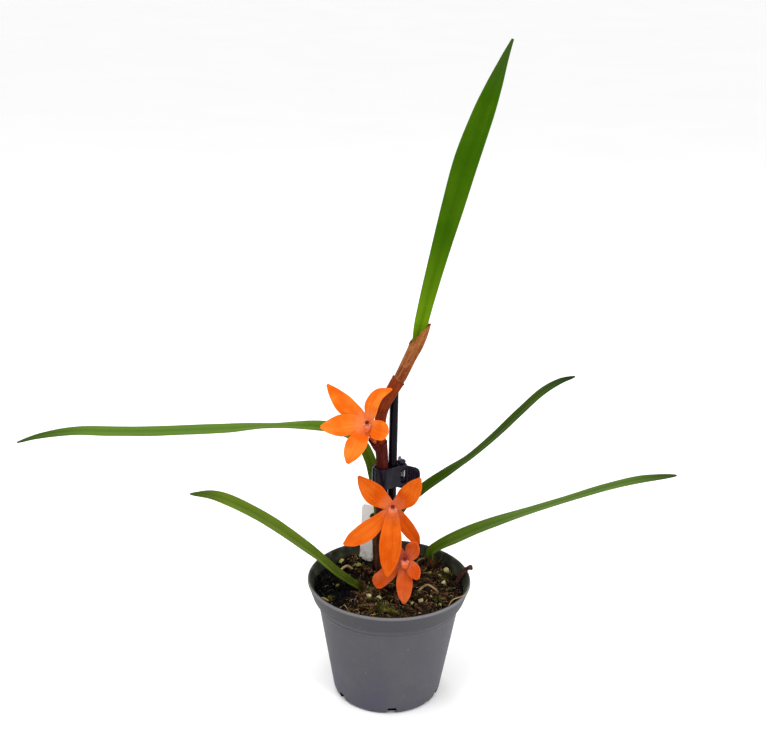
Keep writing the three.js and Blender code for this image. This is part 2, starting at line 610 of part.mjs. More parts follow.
// Label: a flat blank tag with a pointed foot, standing behind the middle bloom.
function labelGeometry(grow = 0) {
  const half = LABEL_WIDTH / 2 + grow;
  const tag = new THREE.Shape();
  tag.moveTo(0, -grow);
  tag.lineTo(half, 6);
  tag.lineTo(half, LABEL_LENGTH - 1 + grow);
  tag.lineTo(half - 1, LABEL_LENGTH + grow);
  tag.lineTo(-half + 1, LABEL_LENGTH + grow);
  tag.lineTo(-half, LABEL_LENGTH - 1 + grow);
  tag.lineTo(-half, 6);
  const thick = LABEL_THICK + 2 * grow;
  const geometry = new THREE.ExtrudeGeometry(tag, { depth: thick, bevelEnabled: false });
  geometry.translate(0, 0, -thick / 2);
  geometry.rotateX(Math.PI / 2 - 0.06);
  geometry.rotateZ(-0.45);
  geometry.translate(-8.5, 18.6, 34.5);
  return geometry;
}

// Soil
function soilHeight(x, y) {
  const swell = 0.7 * Math.sin(0.21 * x + 0.6) * Math.cos(0.19 * y - 0.4);
  const lumps = 0.45 * Math.sin(0.83 * x + 0.37 * y) * Math.sin(0.71 * y - 0.29 * x);
  return SOIL_LEVEL + swell + lumps;
}

function soilBed() {
  const random = seededRandom(11);
  const spokes = 28;
  const topRadius = 26.8;
  const reach = [4.5, 9, 13.5, 17.5, 21.5, 24.8, topRadius];
  const collarLow = POT_HEIGHT - COLLAR_HEIGHT;
  const walls = [
    [BODY_TOP_RADIUS - POT_WALL - GAP - 0.2, collarLow - 1],
    [BODY_LOW_RADIUS - POT_WALL - GAP - 0.9, POT_FLOOR + GAP + 0.4],
  ];
  const positions = [0, 0, soilHeight(0, 0)];
  const index = [];
  const ring = (radius, height) => {
    for (let k = 0; k < spokes; k++) {
      const angle = (k / spokes) * 2 * Math.PI;
      const [x, y] = [radius * Math.cos(angle), radius * Math.sin(angle)];
      positions.push(x, y, height(x, y));
    }
  };
  for (const radius of reach) {
    const rough = radius < topRadius ? 0.5 : 0.15;
    ring(radius, (x, y) => soilHeight(x, y) + rough * (random() - 0.5));
  }
  for (const [radius, z] of walls) {
    ring(radius, () => z);
  }
  const rings = reach.length + walls.length;
  positions.push(0, 0, walls[1][1]);
  const foot = positions.length / 3 - 1;
  for (let k = 0; k < spokes; k++) {
    const next = (k + 1) % spokes;
    index.push(0, 1 + k, 1 + next);
    for (let i = 0; i < rings - 1; i++) {
      const [a, b] = [1 + i * spokes + k, 1 + i * spokes + next];
      index.push(a, a + spokes, b + spokes, a, b + spokes, b);
    }
    const last = 1 + (rings - 1) * spokes;
    index.push(foot, last + next, last + k);
  }
  return indexed(positions, index);
}

// Feet of what stands in the soil, as x, y and the room it needs.
const feet = [
  [-2.6, 4.4, 4.5],
  [-4, 14.5, 4],
  [1.9, 14, 4],
  [-9, -1, 5],
  [15, 15.6, 5],
  [5.3, -1.6, 3],
  [...STAKE_AT, 3.5],
  [-8.5, 18.6, 5],
  [5.5, -17.5, 4.5],
  [-15, -3, 4],
];

function clearSpot(random, reach, keep) {
  for (;;) {
    const radius = reach * Math.sqrt(random());
    const angle = 2 * Math.PI * random();
    const [x, y] = [radius * Math.cos(angle), radius * Math.sin(angle)];
    if (feet.every(([fx, fy, room]) => Math.hypot(x - fx, y - fy) > room + keep)) {
      return [x, y];
    }
  }
}

function barkChips() {
  const random = seededRandom(23);
  const chips = [];
  for (let i = 0; i < SOIL_CHIPS; i++) {
    const chip = new THREE.BoxGeometry(3 + 3 * random(), 1.6 + 1.6 * random(), 1.1 + 0.8 * random());
    chip.rotateX(0.7 * (random() - 0.5));
    chip.rotateY(0.7 * (random() - 0.5));
    chip.rotateZ(2 * Math.PI * random());
    const [x, y] = clearSpot(random, 23, 0.5);
    chip.translate(x, y, soilHeight(x, y) + 0.25);
    chips.push(chip);
  }
  return chips;
}

function feedPellets() {
  const random = seededRandom(37);
  const pellets = [[21.2, 10.7, 1.7]];
  while (pellets.length < SOIL_PELLETS) {
    pellets.push([...clearSpot(random, 24, 0), 0.9 + 0.5 * random()]);
  }
  return pellets.map(([x, y, r]) => {
    const pellet = new THREE.IcosahedronGeometry(r, 0);
    pellet.scale(1, 1.15, 0.85);
    pellet.rotateZ(3 * x);
    pellet.translate(x, y, soilHeight(x, y) + 0.35 * r);
    return pellet;
  });
}

// Thin roots that loop out of the soil, one of them over the pot's rim.
function looseRoots() {
  const paths = [
    [[24.6, 3.6, 40.5, 0.7], [26.8, 4.2, 44, 0.65], [28.9, 4.8, 46.7, 0.6], [31, 5.6, 46.9, 0.5]],
    [[9.6, 17.2, 41, 0.6], [12.2, 18.6, 43.2, 0.55], [15, 20.3, 43, 0.5], [17.4, 20.6, 41, 0.45]],
    [[-20, 9, 40.5, 0.7], [-16, 11.5, 43, 0.65], [-12.4, 10, 41, 0.6]],
    [[10, -4, 41, 0.6], [14, -1.5, 43, 0.6], [18.6, -3.4, 41, 0.55]],
  ];
  return paths.map((rows) => stalk(rows, { sides: 5 }));
}

function soilGeometry() {
  const added = [...barkChips(), ...feedPellets(), ...looseRoots()].map(toSolid);
  const bed = joined([toSolid(soilBed()), ...added]);
  const holes = [
    stalk(stemRows.slice(0, 4), { sides: 10, grow: GAP }),
    stalk(blooms.low.stalk, { sides: 8, grow: GAP }),
    stakeGeometry(GAP),
    labelGeometry(GAP),
  ];
  for (const rows of Object.values(sheathRows)) {
    holes.push(stalk(rows, { sides: 10, grow: GAP }));
  }
  return toGeometry(mainBody(cut(bed, holes.map(toSolid))));
}

// The whole object
const plant = new THREE.Group();

function place(name, geometry, finish) {
  geometry.computeVertexNormals();
  const mesh = new THREE.Mesh(geometry, finish);
  mesh.name = name;
  plant.add(mesh);
}

place("pot", potGeometry(), potPlastic);
place("soil", soilGeometry(), soilMix);
place("stem_main", stemGeometry(), sheathPaper);
for (const [name, rows] of Object.entries(sheathRows)) {
  place(`sheath_${name}`, sheathGeometry(rows, `leaf_${name}`), sheathPaper);
}
for (const name of Object.keys(leafRows)) {
  place(name, leafGeometry(name), leafGreen);
}
for (const [name, bloom] of Object.entries(blooms)) {
  place(`bloom_${name}`, bloomGeometry(bloom), tepalOrange);
  place(`lip_${name}`, lipGeometry(bloom), lipPink);
}
place("stake", stakeGeometry(), blackPlastic);
place("clip_front", clipHalf(true), blackPlastic);
place("clip_back", clipHalf(false), blackPlastic);
place("clip_pin", pinGeometry(), blackPlastic);
place("clip_spring", springGeometry(), springSteel);
place("label", labelGeometry(), labelPlastic);

export default plant;
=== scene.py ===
import math
import random

import bmesh
import bpy
import numpy as np
from mathutils import Matrix, Vector


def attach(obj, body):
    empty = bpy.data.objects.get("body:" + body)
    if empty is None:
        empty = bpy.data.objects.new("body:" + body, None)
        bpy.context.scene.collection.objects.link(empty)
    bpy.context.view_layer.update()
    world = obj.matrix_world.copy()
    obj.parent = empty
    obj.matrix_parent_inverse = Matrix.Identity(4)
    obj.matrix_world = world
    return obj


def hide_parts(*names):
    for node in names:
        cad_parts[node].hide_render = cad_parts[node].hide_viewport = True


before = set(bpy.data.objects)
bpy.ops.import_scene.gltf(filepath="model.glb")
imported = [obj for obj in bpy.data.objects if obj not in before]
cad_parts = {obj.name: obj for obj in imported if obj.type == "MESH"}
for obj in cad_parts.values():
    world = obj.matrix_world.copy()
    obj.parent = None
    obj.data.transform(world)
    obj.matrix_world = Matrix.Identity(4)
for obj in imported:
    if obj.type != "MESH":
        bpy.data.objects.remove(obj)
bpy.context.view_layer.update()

# Lengths are in millimetres and go into the meshes times MM. Only the lights and the floor are in metres.
MM = 0.001
PLANT = "plant"
JAW = "clip_jaw"

POT_HEIGHT = 45.4
RIM_RADIUS = 30
COLLAR_LOW = POT_HEIGHT - 9.3
COLLAR_LOW_RADIUS = 27.95
BODY_TOP_RADIUS = 25.7
BODY_LOW_RADIUS = 20.1
POT_WALL = 1.0
POT_FLOOR = 2.0
NOTCH_HEIGHT = 2.8
NOTCH_DEPTH = 4.4
SOIL_LEVEL = 41.2
SOIL_REACH = 27.3

STAKE_AT = (0.3, 7.6)
STAKE_RADIUS = 1.5
STAKE_LOW = 12
STAKE_TOP = 116
CLIP_LOW = 78.6
CLIP_HEIGHT = 8.0
CLIP_MIDDLE = CLIP_LOW + CLIP_HEIGHT / 2
CLIP_WALL = 1.1
CLIP_TURN = math.radians(28.9)
HINGE_TO_STAKE = 3.6
STEM_TO_STAKE = 4.34
JAW_BORE = 2.5
JAW_REACH = 2.35
PAD_SPLAY = math.radians(55)
PAD_LENGTH = 6.3
PIN_RADIUS = 0.6
KNUCKLE_RADIUS = 1.65
KNUCKLE_THICK = 1.1
PIN_HEAD_THICK = 1.2
WINDOW_WIDTH = 2.2
WINDOW_SHIFT = 0.6
GAP = 0.3
LEAF_THICK = 0.9
TEPAL_THICK = 0.7
LIP_THICK = 0.5
PAPER_THICK = 0.28
LABEL_WIDTH = 7
LABEL_LENGTH = 30

# A leaf or tepal whose last width is more than this has its end rounded off.
BLUNT_TIP = 2

# Rows: point, way the face looks, width, fold
LEAVES = {
    "leaf_tall": [
        (7.9, 4, 134, -0.25, -0.95, 0.1, 3.7, 0.3),
        (8.9, 4.2, 140.2, -0.2, -0.95, 0.1, 4.7, 0.3),
        (11.1, 4.8, 150.8, -0.15, -0.95, 0.1, 5.4, 0.25),
        (14.8, 6, 166.5, -0.1, -0.95, 0.15, 6.5, 0.2),
        (18.5, 7, 181.4, 0, -0.95, 0.15, 7.7, 0.18),
        (22.3, 7.5, 196.3, 0.1, -0.95, 0.15, 8.4, 0.15),
        (26.9, 7, 210.8, 0.15, -0.95, 0.1, 7.4, 0.15),
        (30.1, 6.2, 220.4, 0.2, -0.95, 0.1, 5.4, 0.15),
        (33.3, 5.4, 229.7, 0.2, -0.95, 0.1, 2.4, 0.1),
        (35.2, 5, 234.7, 0.2, -0.95, 0.1, 0.8, 0.1),
    ],
    "leaf_left_high": [
        (-4.9, 15.2, 58.5, 0.75, -0.65, 0.1, 2.8, 0.4),
        (-5.5, 15.7, 67.5, 0.75, -0.65, 0.15, 3.9, 0.5),
        (-6.9, 16, 78.5, 0.65, -0.75, 0.2, 4.8, 0.45),
        (-8.7, 16, 85.5, 0.62, -0.65, 0.4, 5.2, 0.45),
        (-12.8, 16, 92.6, 0.5, -0.4, 0.7, 5.6, 0.4),
        (-19.4, 16, 96.3, 0.25, -0.3, 0.9, 6, 0.3),
        (-26, 16, 97.5, 0.1, -0.22, 0.95, 6.4, 0.25),
        (-44.7, 16.5, 97.1, 0, 0.14, 1, 7.3, 0.15),
        (-61.1, 17, 95.4, 0, -0.05, 1, 8.2, 0.12),
        (-75.2, 17.3, 94.3, 0, -0.06, 1, 8.4, 0.12),
        (-89.6, 18, 93.1, 0, -0.06, 1, 8.4, 0.12),
        (-103.9, 18.3, 92.6, 0, -0.06, 1, 8.2, 0.12),
        (-118.1, 18, 92.5, 0, -0.05, 1, 7.4, 0.12),
        (-131.8, 17.5, 90.3, -0.1, -0.05, 1, 5, 0.1),
        (-139.6, 17, 87.9, -0.2, -0.05, 1, 1, 0.1),
    ],
    "leaf_left_low": [
        (-9.5, -1.2, 40.5, 0.6, -0.3, 0.65, 3, 0.6),
        (-14.6, -3.5, 45, 0.6, -0.22, 0.68, 4, 0.5),
        (-19.6, -6, 50.2, 0.6, -0.15, 0.7, 5.2, 0.4),
        (-25.8, -9, 57.7, 0.55, -0.08, 0.75, 6.8, 0.3),
        (-32, -12, 64.4, 0.52, -0.07, 0.8, 7.8, 0.22),
        (-40, -15, 72.1, 0.5, -0.07, 0.82, 8.2, 0.18),
        (-47.9, -18, 78.7, 0.42, -0.07, 0.86, 8.2, 0.16),
        (-55.6, -20, 83.6, 0.32, -0.06, 0.92, 7.6, 0.15),
        (-61, -21.2, 85.9, 0.2, -0.06, 0.95, 5.6, 0.12),
        (-67.7, -22.5, 86.7, 0.05, -0.1, 0.98, 1, 0.1),
    ],
    "leaf_right_high": [
        (1.8, 16, 56, -0.75, -0.6, 0.2, 2.8, 0.4),
        (4.4, 16.8, 64.8, -0.75, -0.5, 0.4, 4, 0.5),
        (12.2, 18, 72.6, -0.7, -0.35, 0.6, 5.4, 0.45),
        (21.1, 20, 78.9, -0.66, -0.14, 0.7, 6.6, 0.25),
        (29.6, 22, 84.7, -0.66, 0.08, 0.74, 7.6, 0.2),
        (38.6, 24, 92.5, -0.66, 0.04, 0.74, 8.2, 0.16),
        (47.4, 26, 101.2, -0.64, 0.02, 0.75, 8, 0.15),
        (55.9, 28, 109.1, -0.55, -0.02, 0.82, 7, 0.15),
        (62.6, 29, 113.2, -0.35, -0.06, 0.92, 4.6, 0.12),
        (67.7, 30, 114.7, -0.2, -0.12, 0.97, 1, 0.1),
    ],
    "leaf_right_low": [
        (15.7, 15.8, 43.6, -0.7, -0.6, 0.4, 3.2, 0.6),
        (15.9, 15.8, 47.6, -0.62, -0.5, 0.6, 4.2, 0.6),
        (18.6, 15.7, 50.1, -0.52, -0.36, 0.75, 5, 0.5),
        (24.4, 15.3, 53.6, -0.5, -0.28, 0.8, 6.4, 0.4),
        (33, 14.5, 58.5, -0.44, -0.1, 0.86, 7.8, 0.25),
        (44.6, 13, 64.2, -0.4, 0.08, 0.9, 8.2, 0.18),
        (56.1, 12, 69.2, -0.38, 0.18, 0.92, 8.2, 0.15),
        (67.5, 11, 74, -0.36, 0.19, 0.93, 8.2, 0.14),
        (78.7, 10, 78.6, -0.3, 0.15, 0.95, 8.2, 0.12),
        (89.8, 9, 82.3, -0.2, 0.1, 0.97, 7.4, 0.12),
        (97.5, 8.3, 84, -0.12, 0.08, 0.98, 5.2, 0.12),
        (103.4, 8, 85, -0.05, 0.05, 0.99, 1, 0.1),
    ],
}

# Rows: point and radius. Each sheath ends in a mouth: how far it slants, and which way its high side lies.
STEM_CORE = [
    (-2.6, 4.4, 34, 1.9), (-2.9, 4.9, 63, 1.8), (-3.5, 5.5, 80, 1.8), (-4.2, 5.4, 97, 1.8),
    (-4.4, 4.8, 105, 1.8), (-3.2, 4.1, 110.6, 1.8), (0.1, 3.3, 117.6, 1.9), (2.4, 3.2, 121.8, 1.9),
    (5.3, 3.5, 128.3, 1.8), (7.2, 4, 132.6, 1.8),
]
STEM_SHEATHS = [
    {"slant": 0.03, "high": 0.5,
     "rows": [(-2.6, 4.4, 34, 2.45), (-2.7, 4.5, 50, 2.4), (-2.9, 4.9, 62.6, 2.5)]},
    {"slant": 0.02, "high": 0.3,
     "rows": [(-2.95, 4.95, 60, 2.15), (-3.5, 5.5, 77, 2.2), (-3.55, 5.5, 90, 2.2), (-4.3, 5.4, 96.6, 2.4)]},
    {"slant": 0.025, "high": 3.6,
     "rows": [(-4.3, 5.35, 95, 2.05), (-4.4, 4.8, 104.9, 2.05), (-3.2, 4.1, 110.6, 2.15),
              (0.1, 3.3, 117.6, 2.35), (1.9, 3.2, 120.9, 2.5)]},
    {"slant": 0.2, "high": 0.0,
     "rows": [(1.2, 3.2, 119.6, 2.05), (2.4, 3.2, 121.8, 2.1), (5.3, 3.5, 128.3, 2.2), (7.5, 4, 133.2, 2.5),
              (8.9, 4, 138.6, 2.85), (9.4, 4, 141.4, 2.9)]},
]
GROWTH_SHEATHS = {
    "sheath_left_high": [(-4, 14.5, 38, 2.2), (-4.4, 14.8, 50, 2.2), (-4.8, 15.1, 57, 2.2),
                         (-5.2, 15.4, 63, 2.5)],
    "sheath_right_high": [(1.9, 14, 38, 2.2), (1.8, 15, 48, 2.2), (1.7, 15.8, 55, 2.2),
                          (2.1, 16.3, 60.5, 2.5)],
    "sheath_left_low": [(-6.2, 0.2, 36, 1.7), (-7.7, -0.4, 38, 2), (-9.6, -1.25, 40.7, 2),
                        (-11.6, -2.2, 42.6, 2.2)],
    "sheath_right_low": [(14.2, 14.4, 36, 1.9), (15, 15.1, 40, 2), (15.5, 15.6, 43.6, 2.1),
                         (15.7, 15.8, 46, 2.3)],
}
BRACTS = [
    [(-4, 5.2, 92, 1.3), (-5.7, 4.2, 95.5, 1.7), (-7.4, 3, 98.8, 1.5)],
    [(-2.9, 4.8, 65, 1.3), (-2.5, 2.7, 67, 1.6), (-1.9, 0.8, 69, 1.4)],
]

# Hub, way the bloom faces, way its lip points, stalk from inside its bract, and tepals as points and widths
BLOOMS = {
    "top": {
        "hub": (-9, -2, 106.1), "faces": (-0.35, -0.85, 0.4), "tongue": (0.02, -0.9, 0.36),
        "stalk": [(-5.9, 4.1, 95.9, 0.85), (-7.35, 2.7, 99.2, 0.9), (-8.6, 1.2, 102.6, 1),
                  (-9, -1.2, 105.6, 1.3)],
        "tepals": [
            [(-12.9, -0.4, 108.6, 6), (-17, 1.2, 111.6, 6.8), (-20.8, 3.4, 115, 4.4),
             (-23.4, 5.1, 117.6, 0.9)],
            [(-13, -2, 105.6, 6.4), (-17.7, -2.2, 105, 7.8), (-22, -1.4, 104.2, 5.2),
             (-25.4, -0.2, 103.5, 1)],
            [(-10.5, -5, 103.2, 5.4), (-12.3, -8.3, 100.5, 7.6), (-14, -10.8, 97.5, 5.6),
             (-15.2, -12.7, 95.1, 1)],
            [(-6.8, -5.4, 106, 5), (-4.8, -9.3, 106.3, 6.8), (-3, -11.6, 106.6, 6.2),
             (-1.5, -13.3, 106.9, 3.8)],
            [(-7.9, -2.9, 109.6, 4.2), (-7.3, -3.6, 113.4, 5.2), (-5.2, -3.2, 117, 4.4),
             (-0.6, -0.6, 118.4, 0.9)],
        ],
    },
    "middle": {
        "hub": (0.7, -5, 75.8), "faces": (0, -0.92, 0.38), "tongue": (0, -0.92, 0.38),
        "stalk": [(-2.4, 2.3, 67.2, 0.85), (-1.7, 0.45, 69.5, 0.9), (-0.8, -1.6, 72, 1),
                  (0.5, -4.2, 75.3, 1.3)],
        "tepals": [
            [(-2.6, -5.8, 78.2, 5.6), (-6, -6.8, 81.3, 7.6), (-9.4, -7.1, 85.2, 5), (-11.6, -7, 88.1, 0.9)],
            [(3.4, -5.9, 78, 5.4), (5.9, -6.9, 80.8, 7.4), (8.4, -7.2, 84.9, 5.4), (10.1, -7.1, 87.9, 1)],
            [(-3.4, -7.4, 71.9, 4.8), (-8.4, -10, 68.3, 6.8), (-13, -11.6, 65.8, 5.2),
             (-16.3, -12.6, 64.2, 1)],
            [(0.5, -8.4, 70.8, 6), (0.2, -12.2, 64.8, 7.9), (-0.2, -14.6, 58.8, 6), (-0.6, -16.3, 53.9, 1)],
            [(3.4, -5.5, 72, 4.2), (6, -5.4, 68, 5), (8.8, -4.2, 63.6, 4), (10.6, -2.4, 60.2, 1)],
        ],
    },
    "low": {
        "hub": (5.3, -9, 57.2), "faces": (-0.2, -0.85, 0.5), "tongue": (0.04, -0.85, 0.46),
        "stalk": [(5.2, -0.6, 36, 0.9), (5.4, -2, 44, 0.9), (5.5, -5, 52, 1), (5.3, -8.3, 56.6, 1.2)],
        "tepals": [
            [(2.2, -9.8, 54.6, 4.2), (-0.7, -10.4, 51.8, 5.6), (-3.6, -10.6, 49.2, 5.6),
             (-5.6, -10.3, 47.9, 3.6)],
            [(5.4, -12.3, 54.6, 4.2), (5.5, -15, 50.9, 5.8), (5.5, -17, 47.4, 4.6), (5.5, -18.4, 44.6, 1)],
            [(7, -12, 57, 3.6), (8.6, -14.4, 55.8, 4.8), (9.4, -16.4, 54.8, 3.6), (9.9, -18, 54.2, 1.2)],
            [(6.9, -10.6, 59.7, 4.4), (8, -11.8, 62.1, 5.8), (8.8, -12.6, 64.3, 4.6), (9.3, -13, 66, 1.2)],
            [(3.3, -8, 59.2, 3.8), (1.2, -6.6, 60.8, 4.8), (-0.5, -5.2, 62, 3.8), (-1.7, -3.8, 62.8, 1)],
        ],
    },
}


# Camera: the photograph's, 400 mm from the middle of the pot's rim
def add_camera():
    elevation, pitch, yaw, roll = 0.498384, 0.314625, -0.010691, 0.020651
    reach, focal, frame_width = 400, 1068.29, 766
    place = Vector((0, -reach * math.cos(elevation), POT_HEIGHT + reach * math.sin(elevation)))
    ahead = Vector((math.sin(yaw) * math.cos(pitch), math.cos(yaw) * math.cos(pitch), -math.sin(pitch)))
    level = Vector((math.cos(yaw), -math.sin(yaw), 0))
    upward = level.cross(ahead)
    right = level * math.cos(roll) + upward * math.sin(roll)
    up = -level * math.sin(roll) + upward * math.cos(roll)
    data = bpy.data.cameras.new("camera")
    data.sensor_width = 36
    data.lens = focal * data.sensor_width / frame_width
    data.clip_start = 0.01
    camera = bpy.data.objects.new("camera", data)
    camera.matrix_world = Matrix.Translation(place * MM) @ Matrix((right, up, -ahead)).transposed().to_4x4()
    bpy.context.scene.collection.objects.link(camera)
    bpy.context.scene.camera = camera


def add_light(name, place, target, size, power):
    data = bpy.data.lights.new(name, "AREA")
    data.shape = "DISK"
    data.size = size
    data.energy = power
    light = bpy.data.objects.new(name, data)
    aim = Vector(target) - Vector(place)
    light.matrix_world = Matrix.Translation(Vector(place)) @ aim.to_track_quat("-Z", "Y").to_matrix().to_4x4()
    bpy.context.scene.collection.objects.link(light)


# Shapes as points, faces and surface coordinates
def unit(v):
    return v / np.maximum(np.linalg.norm(v, axis=-1, keepdims=True), 1e-9)


def spline(rows, t):
    """Points and tangents of the centripetal curve through the rows, at places t from 0 to 1."""
    points = np.array([row[:3] for row in rows], float)
    points = np.vstack([2 * points[0] - points[1], points, 2 * points[-1] - points[-2]])
    place = np.clip(t, 0, 1) * (len(rows) - 1)
    low = np.minimum(place.astype(int), len(rows) - 2)
    w = (place - low)[:, None]
    p0, p1, p2, p3 = (points[low + i] for i in range(4))
    pairs = ((p0, p1), (p1, p2), (p2, p3))
    d0, d1, d2 = (np.sqrt(np.linalg.norm(b - a, axis=1))[:, None] for a, b in pairs)
    m1 = ((p1 - p0) / d0 - (p2 - p0) / (d0 + d1) + (p2 - p1) / d1) * d1
    m2 = ((p2 - p1) / d1 - (p3 - p1) / (d1 + d2) + (p3 - p2) / d2) * d1
    c2 = 3 * (p2 - p1) - 2 * m1 - m2
    c3 = 2 * (p1 - p2) + m1 + m2
    return p1 + m1 * w + c2 * w**2 + c3 * w**3, unit(m1 + 2 * c2 * w + 3 * c3 * w**2)


def run_of(points):
    """How far along the line each of its points is."""
    return np.concatenate([[0], np.cumsum(np.linalg.norm(np.diff(points, axis=0), axis=1))])


def eased(rows, column, t):
    """A column of the rows at places t, smooth and never beyond the rows' own values."""
    y = np.array([row[column] for row in rows], float)
    step = np.diff(y)
    slope = np.zeros(len(y))
    slope[0], slope[-1] = step[0], step[-1]
    before, after = step[:-1], step[1:]
    same = before * after > 0
    slope[1:-1] = np.where(same, 2 * before * after / np.where(same, before + after, 1), 0)
    place = np.clip(t, 0, 1) * (len(y) - 1)
    low = np.minimum(place.astype(int), len(y) - 2)
    w = place - low
    h = [2 * w**3 - 3 * w**2 + 1, w**3 - 2 * w**2 + w, 3 * w**2 - 2 * w**3, w**3 - w**2]
    return h[0] * y[low] + h[1] * slope[low] + h[2] * y[low + 1] + h[3] * slope[low + 1]


def ripple(x, seed, rates):
    """A seeded wavy line, about -1 to 1."""
    rng = np.random.RandomState(seed)
    total = np.zeros_like(x, float)
    for rate in rates:
        total += np.sin(rate * x + rng.uniform(0, 2 * np.pi)) / len(rates)
    return total


def grid_quads(rows, columns, first=0, around=False, flip=False):
    """Faces of a grid of points in rows; around closes each row on itself."""
    faces = []
    span = columns if around else columns - 1
    for i in range(rows - 1):
        for j in range(span):
            a, b = first + i * columns + j, first + i * columns + (j + 1) % columns
            face = (a, b, b + columns, a + columns)
            faces.append(face[::-1] if flip else face)
    return faces


def surface(across, along):
    """Surface coordinates of a grid of points, for the materials."""
    return np.stack(np.broadcast_arrays(across[None, :], along[:, None]), -1).reshape(-1, 2)


def sheet_faces(rows, columns):
    """Faces of a closed sheet: its upper grid and rim, and its lower grid, whose points come second."""
    n, c = rows * columns, columns - 1
    upper, lower = grid_quads(rows, columns), grid_quads(rows, columns, n, flip=True)
    for i in range(rows - 1):
        a, b = i * columns, (i + 1) * columns
        upper += [(a, b, b + n, a + n), (a + c, a + c + n, b + c + n, b + c)]
    for j in range(columns - 1):
        last = (rows - 1) * columns + j
        upper += [(j, j + n, j + 1 + n, j + 1), (last, last + 1, last + 1 + n, last + n)]
    return upper, lower


def blade(rows, thick, steps, columns, rim, wave, seed, groove=0.0):
    """A leaf or tepal: top and bottom skins that meet in a thin rounded edge."""
    t = np.linspace(0, 1, steps + 1)
    centre, along = spline(rows, t)
    looks = np.stack([eased(rows, k, t) for k in (3, 4, 5)], 1)
    side = unit(np.cross(along, looks))
    up = unit(np.cross(side, along))
    half = eased(rows, 6, t) / 2
    if rows[-1][6] > BLUNT_TIP:
        half = half * np.sqrt(np.maximum(1 - np.clip((t - 0.84) / 0.16, 0, 1) ** 3, 0.01))
    fold = eased(rows, 7, t)
    length = run_of(centre)
    u = np.sin(np.linspace(-np.pi / 2, np.pi / 2, columns + 1))
    lift = (fold * half)[:, None] * (np.abs(u) ** 1.3 - 0.5)
    lift = lift + wave * ripple(length * 0.12, seed, (1, 1.7, 2.9))[:, None] * np.abs(u) ** 2 * u
    skin = thick / 2 * (rim + (1 - rim) * np.sqrt(np.maximum(1 - u**2, 0)))
    skin = skin * np.minimum(1, (half[:, None] + 0.15) / 1.2)
    furrow = groove * np.exp(-((u / 0.12) ** 2)) * np.minimum(1, half[:, None] / 2)
    flat = centre[:, None] + side[:, None] * (half[:, None] * u)[..., None]
    heights = (lift + skin - furrow, lift - skin - 1.2 * furrow)
    sheets = [flat + up[:, None] * height[..., None] for height in heights]
    places = surface(u, length)
    points = np.concatenate([sheet.reshape(-1, 3) for sheet in sheets])
    return points, *sheet_faces(steps + 1, columns + 1), np.concatenate([places, places])


def frames(along):
    """Two directions across each tangent, turning as little as they can."""
    side = np.zeros_like(along)
    first = np.cross((0, 1, 0), along[0])
    if np.linalg.norm(first) < 0.2:
        first = np.cross((1, 0, 0), along[0])
    side[0] = unit(first)
    for i in range(1, len(along)):
        side[i] = unit(side[i - 1] - along[i] * np.dot(side[i - 1], along[i]))
    return side, np.cross(along, side)


def tube(rows, sides, steps, rough=0.0, seed=0, tip=False):
    """A round stalk, closed at both ends; tip rounds the far end."""
    t = np.linspace(0, 1, steps + 1)
    centre, along = spline(rows, t)
    side, other = frames(along)
    radius = eased(rows, 3, t)
    if tip:
        radius = radius * np.sqrt(np.maximum(1 - np.clip((t - 0.8) / 0.2, 0, 1) ** 2, 0.02))
    angle = np.linspace(0, 2 * np.pi, sides, endpoint=False)
    length = run_of(centre)
    spread = radius[:, None] * np.ones(sides)
    if rough:
        uneven = rough * ripple(length, seed, (1.1, 2.3, 3.9))
        spread = spread * (1 + uneven[:, None] * np.cos(3 * angle)[None])
    ring = side[:, None] * np.cos(angle)[None, :, None] + other[:, None] * np.sin(angle)[None, :, None]
    points = (centre[:, None] + ring * spread[..., None]).reshape(-1, 3)
    faces = grid_quads(steps + 1, sides, around=True)
    faces.append(tuple(range(sides))[::-1])
    faces.append(tuple(range(steps * sides, (steps + 1) * sides)))
    return points, faces, surface(angle / np.pi, length)


def papery_sheath(rows, slant, high, steps, seed, sides=72, ragged=0.012):
    """A dry sheath: thin tube with fine ribs, whose mouth slants and is frayed."""
    angle = np.linspace(0, 2 * np.pi, sides, endpoint=False)
    s = np.linspace(0, 1, steps + 1)
    frayed = slant * np.cos(angle - high) + ragged * ripple(angle * 3, seed, (1, 3, 5, 9))
    end = 1 - slant - ragged + frayed
    t = s[:, None] * end[None, :]
    centre, along = spline(rows, t.reshape(-1))
    side = unit(np.cross((0, 1, 0), along))
    other = np.cross(along, side)
    radius = eased(rows, 3, t.reshape(-1)).reshape(t.shape)
    ribs = 0.012 * ripple(angle * 2, seed + 1, (7, 11, 15))[None, :]
    waves = 0.018 * np.sin(9 * s[:, None] + 2 * angle[None, :]) * ripple(angle, seed + 2, (1, 2, 3))[None, :]
    flare = 0.05 * np.clip((s[:, None] - 0.94) / 0.06, 0, 1) ** 2
    outer = radius * (1 + ribs + waves + flare)
    shape = t.shape + (3,)
    centre, side, other = (part.reshape(shape) for part in (centre, side, other))
    turn = side * np.cos(angle)[None, :, None] + other * np.sin(angle)[None, :, None]
    skins = [centre + turn * (outer - inset)[..., None] for inset in (0, PAPER_THICK)]
    count = (steps + 1) * sides
    faces = grid_quads(steps + 1, sides, around=True)
    faces += grid_quads(steps + 1, sides, count, around=True, flip=True)
    for j in range(sides):
        a, b = steps * sides + j, steps * sides + (j + 1) % sides
        faces.append((a, b, b + count, a + count))
        a, b = j, (j + 1) % sides
        faces.append((b, a, a + count, b + count))
    length = np.linalg.norm(np.array(rows[-1][:3]) - np.array(rows[0][:3]))
    places = surface(angle / np.pi, s * length)
    return np.concatenate([skin.reshape(-1, 3) for skin in skins]), faces, np.concatenate([places, places])


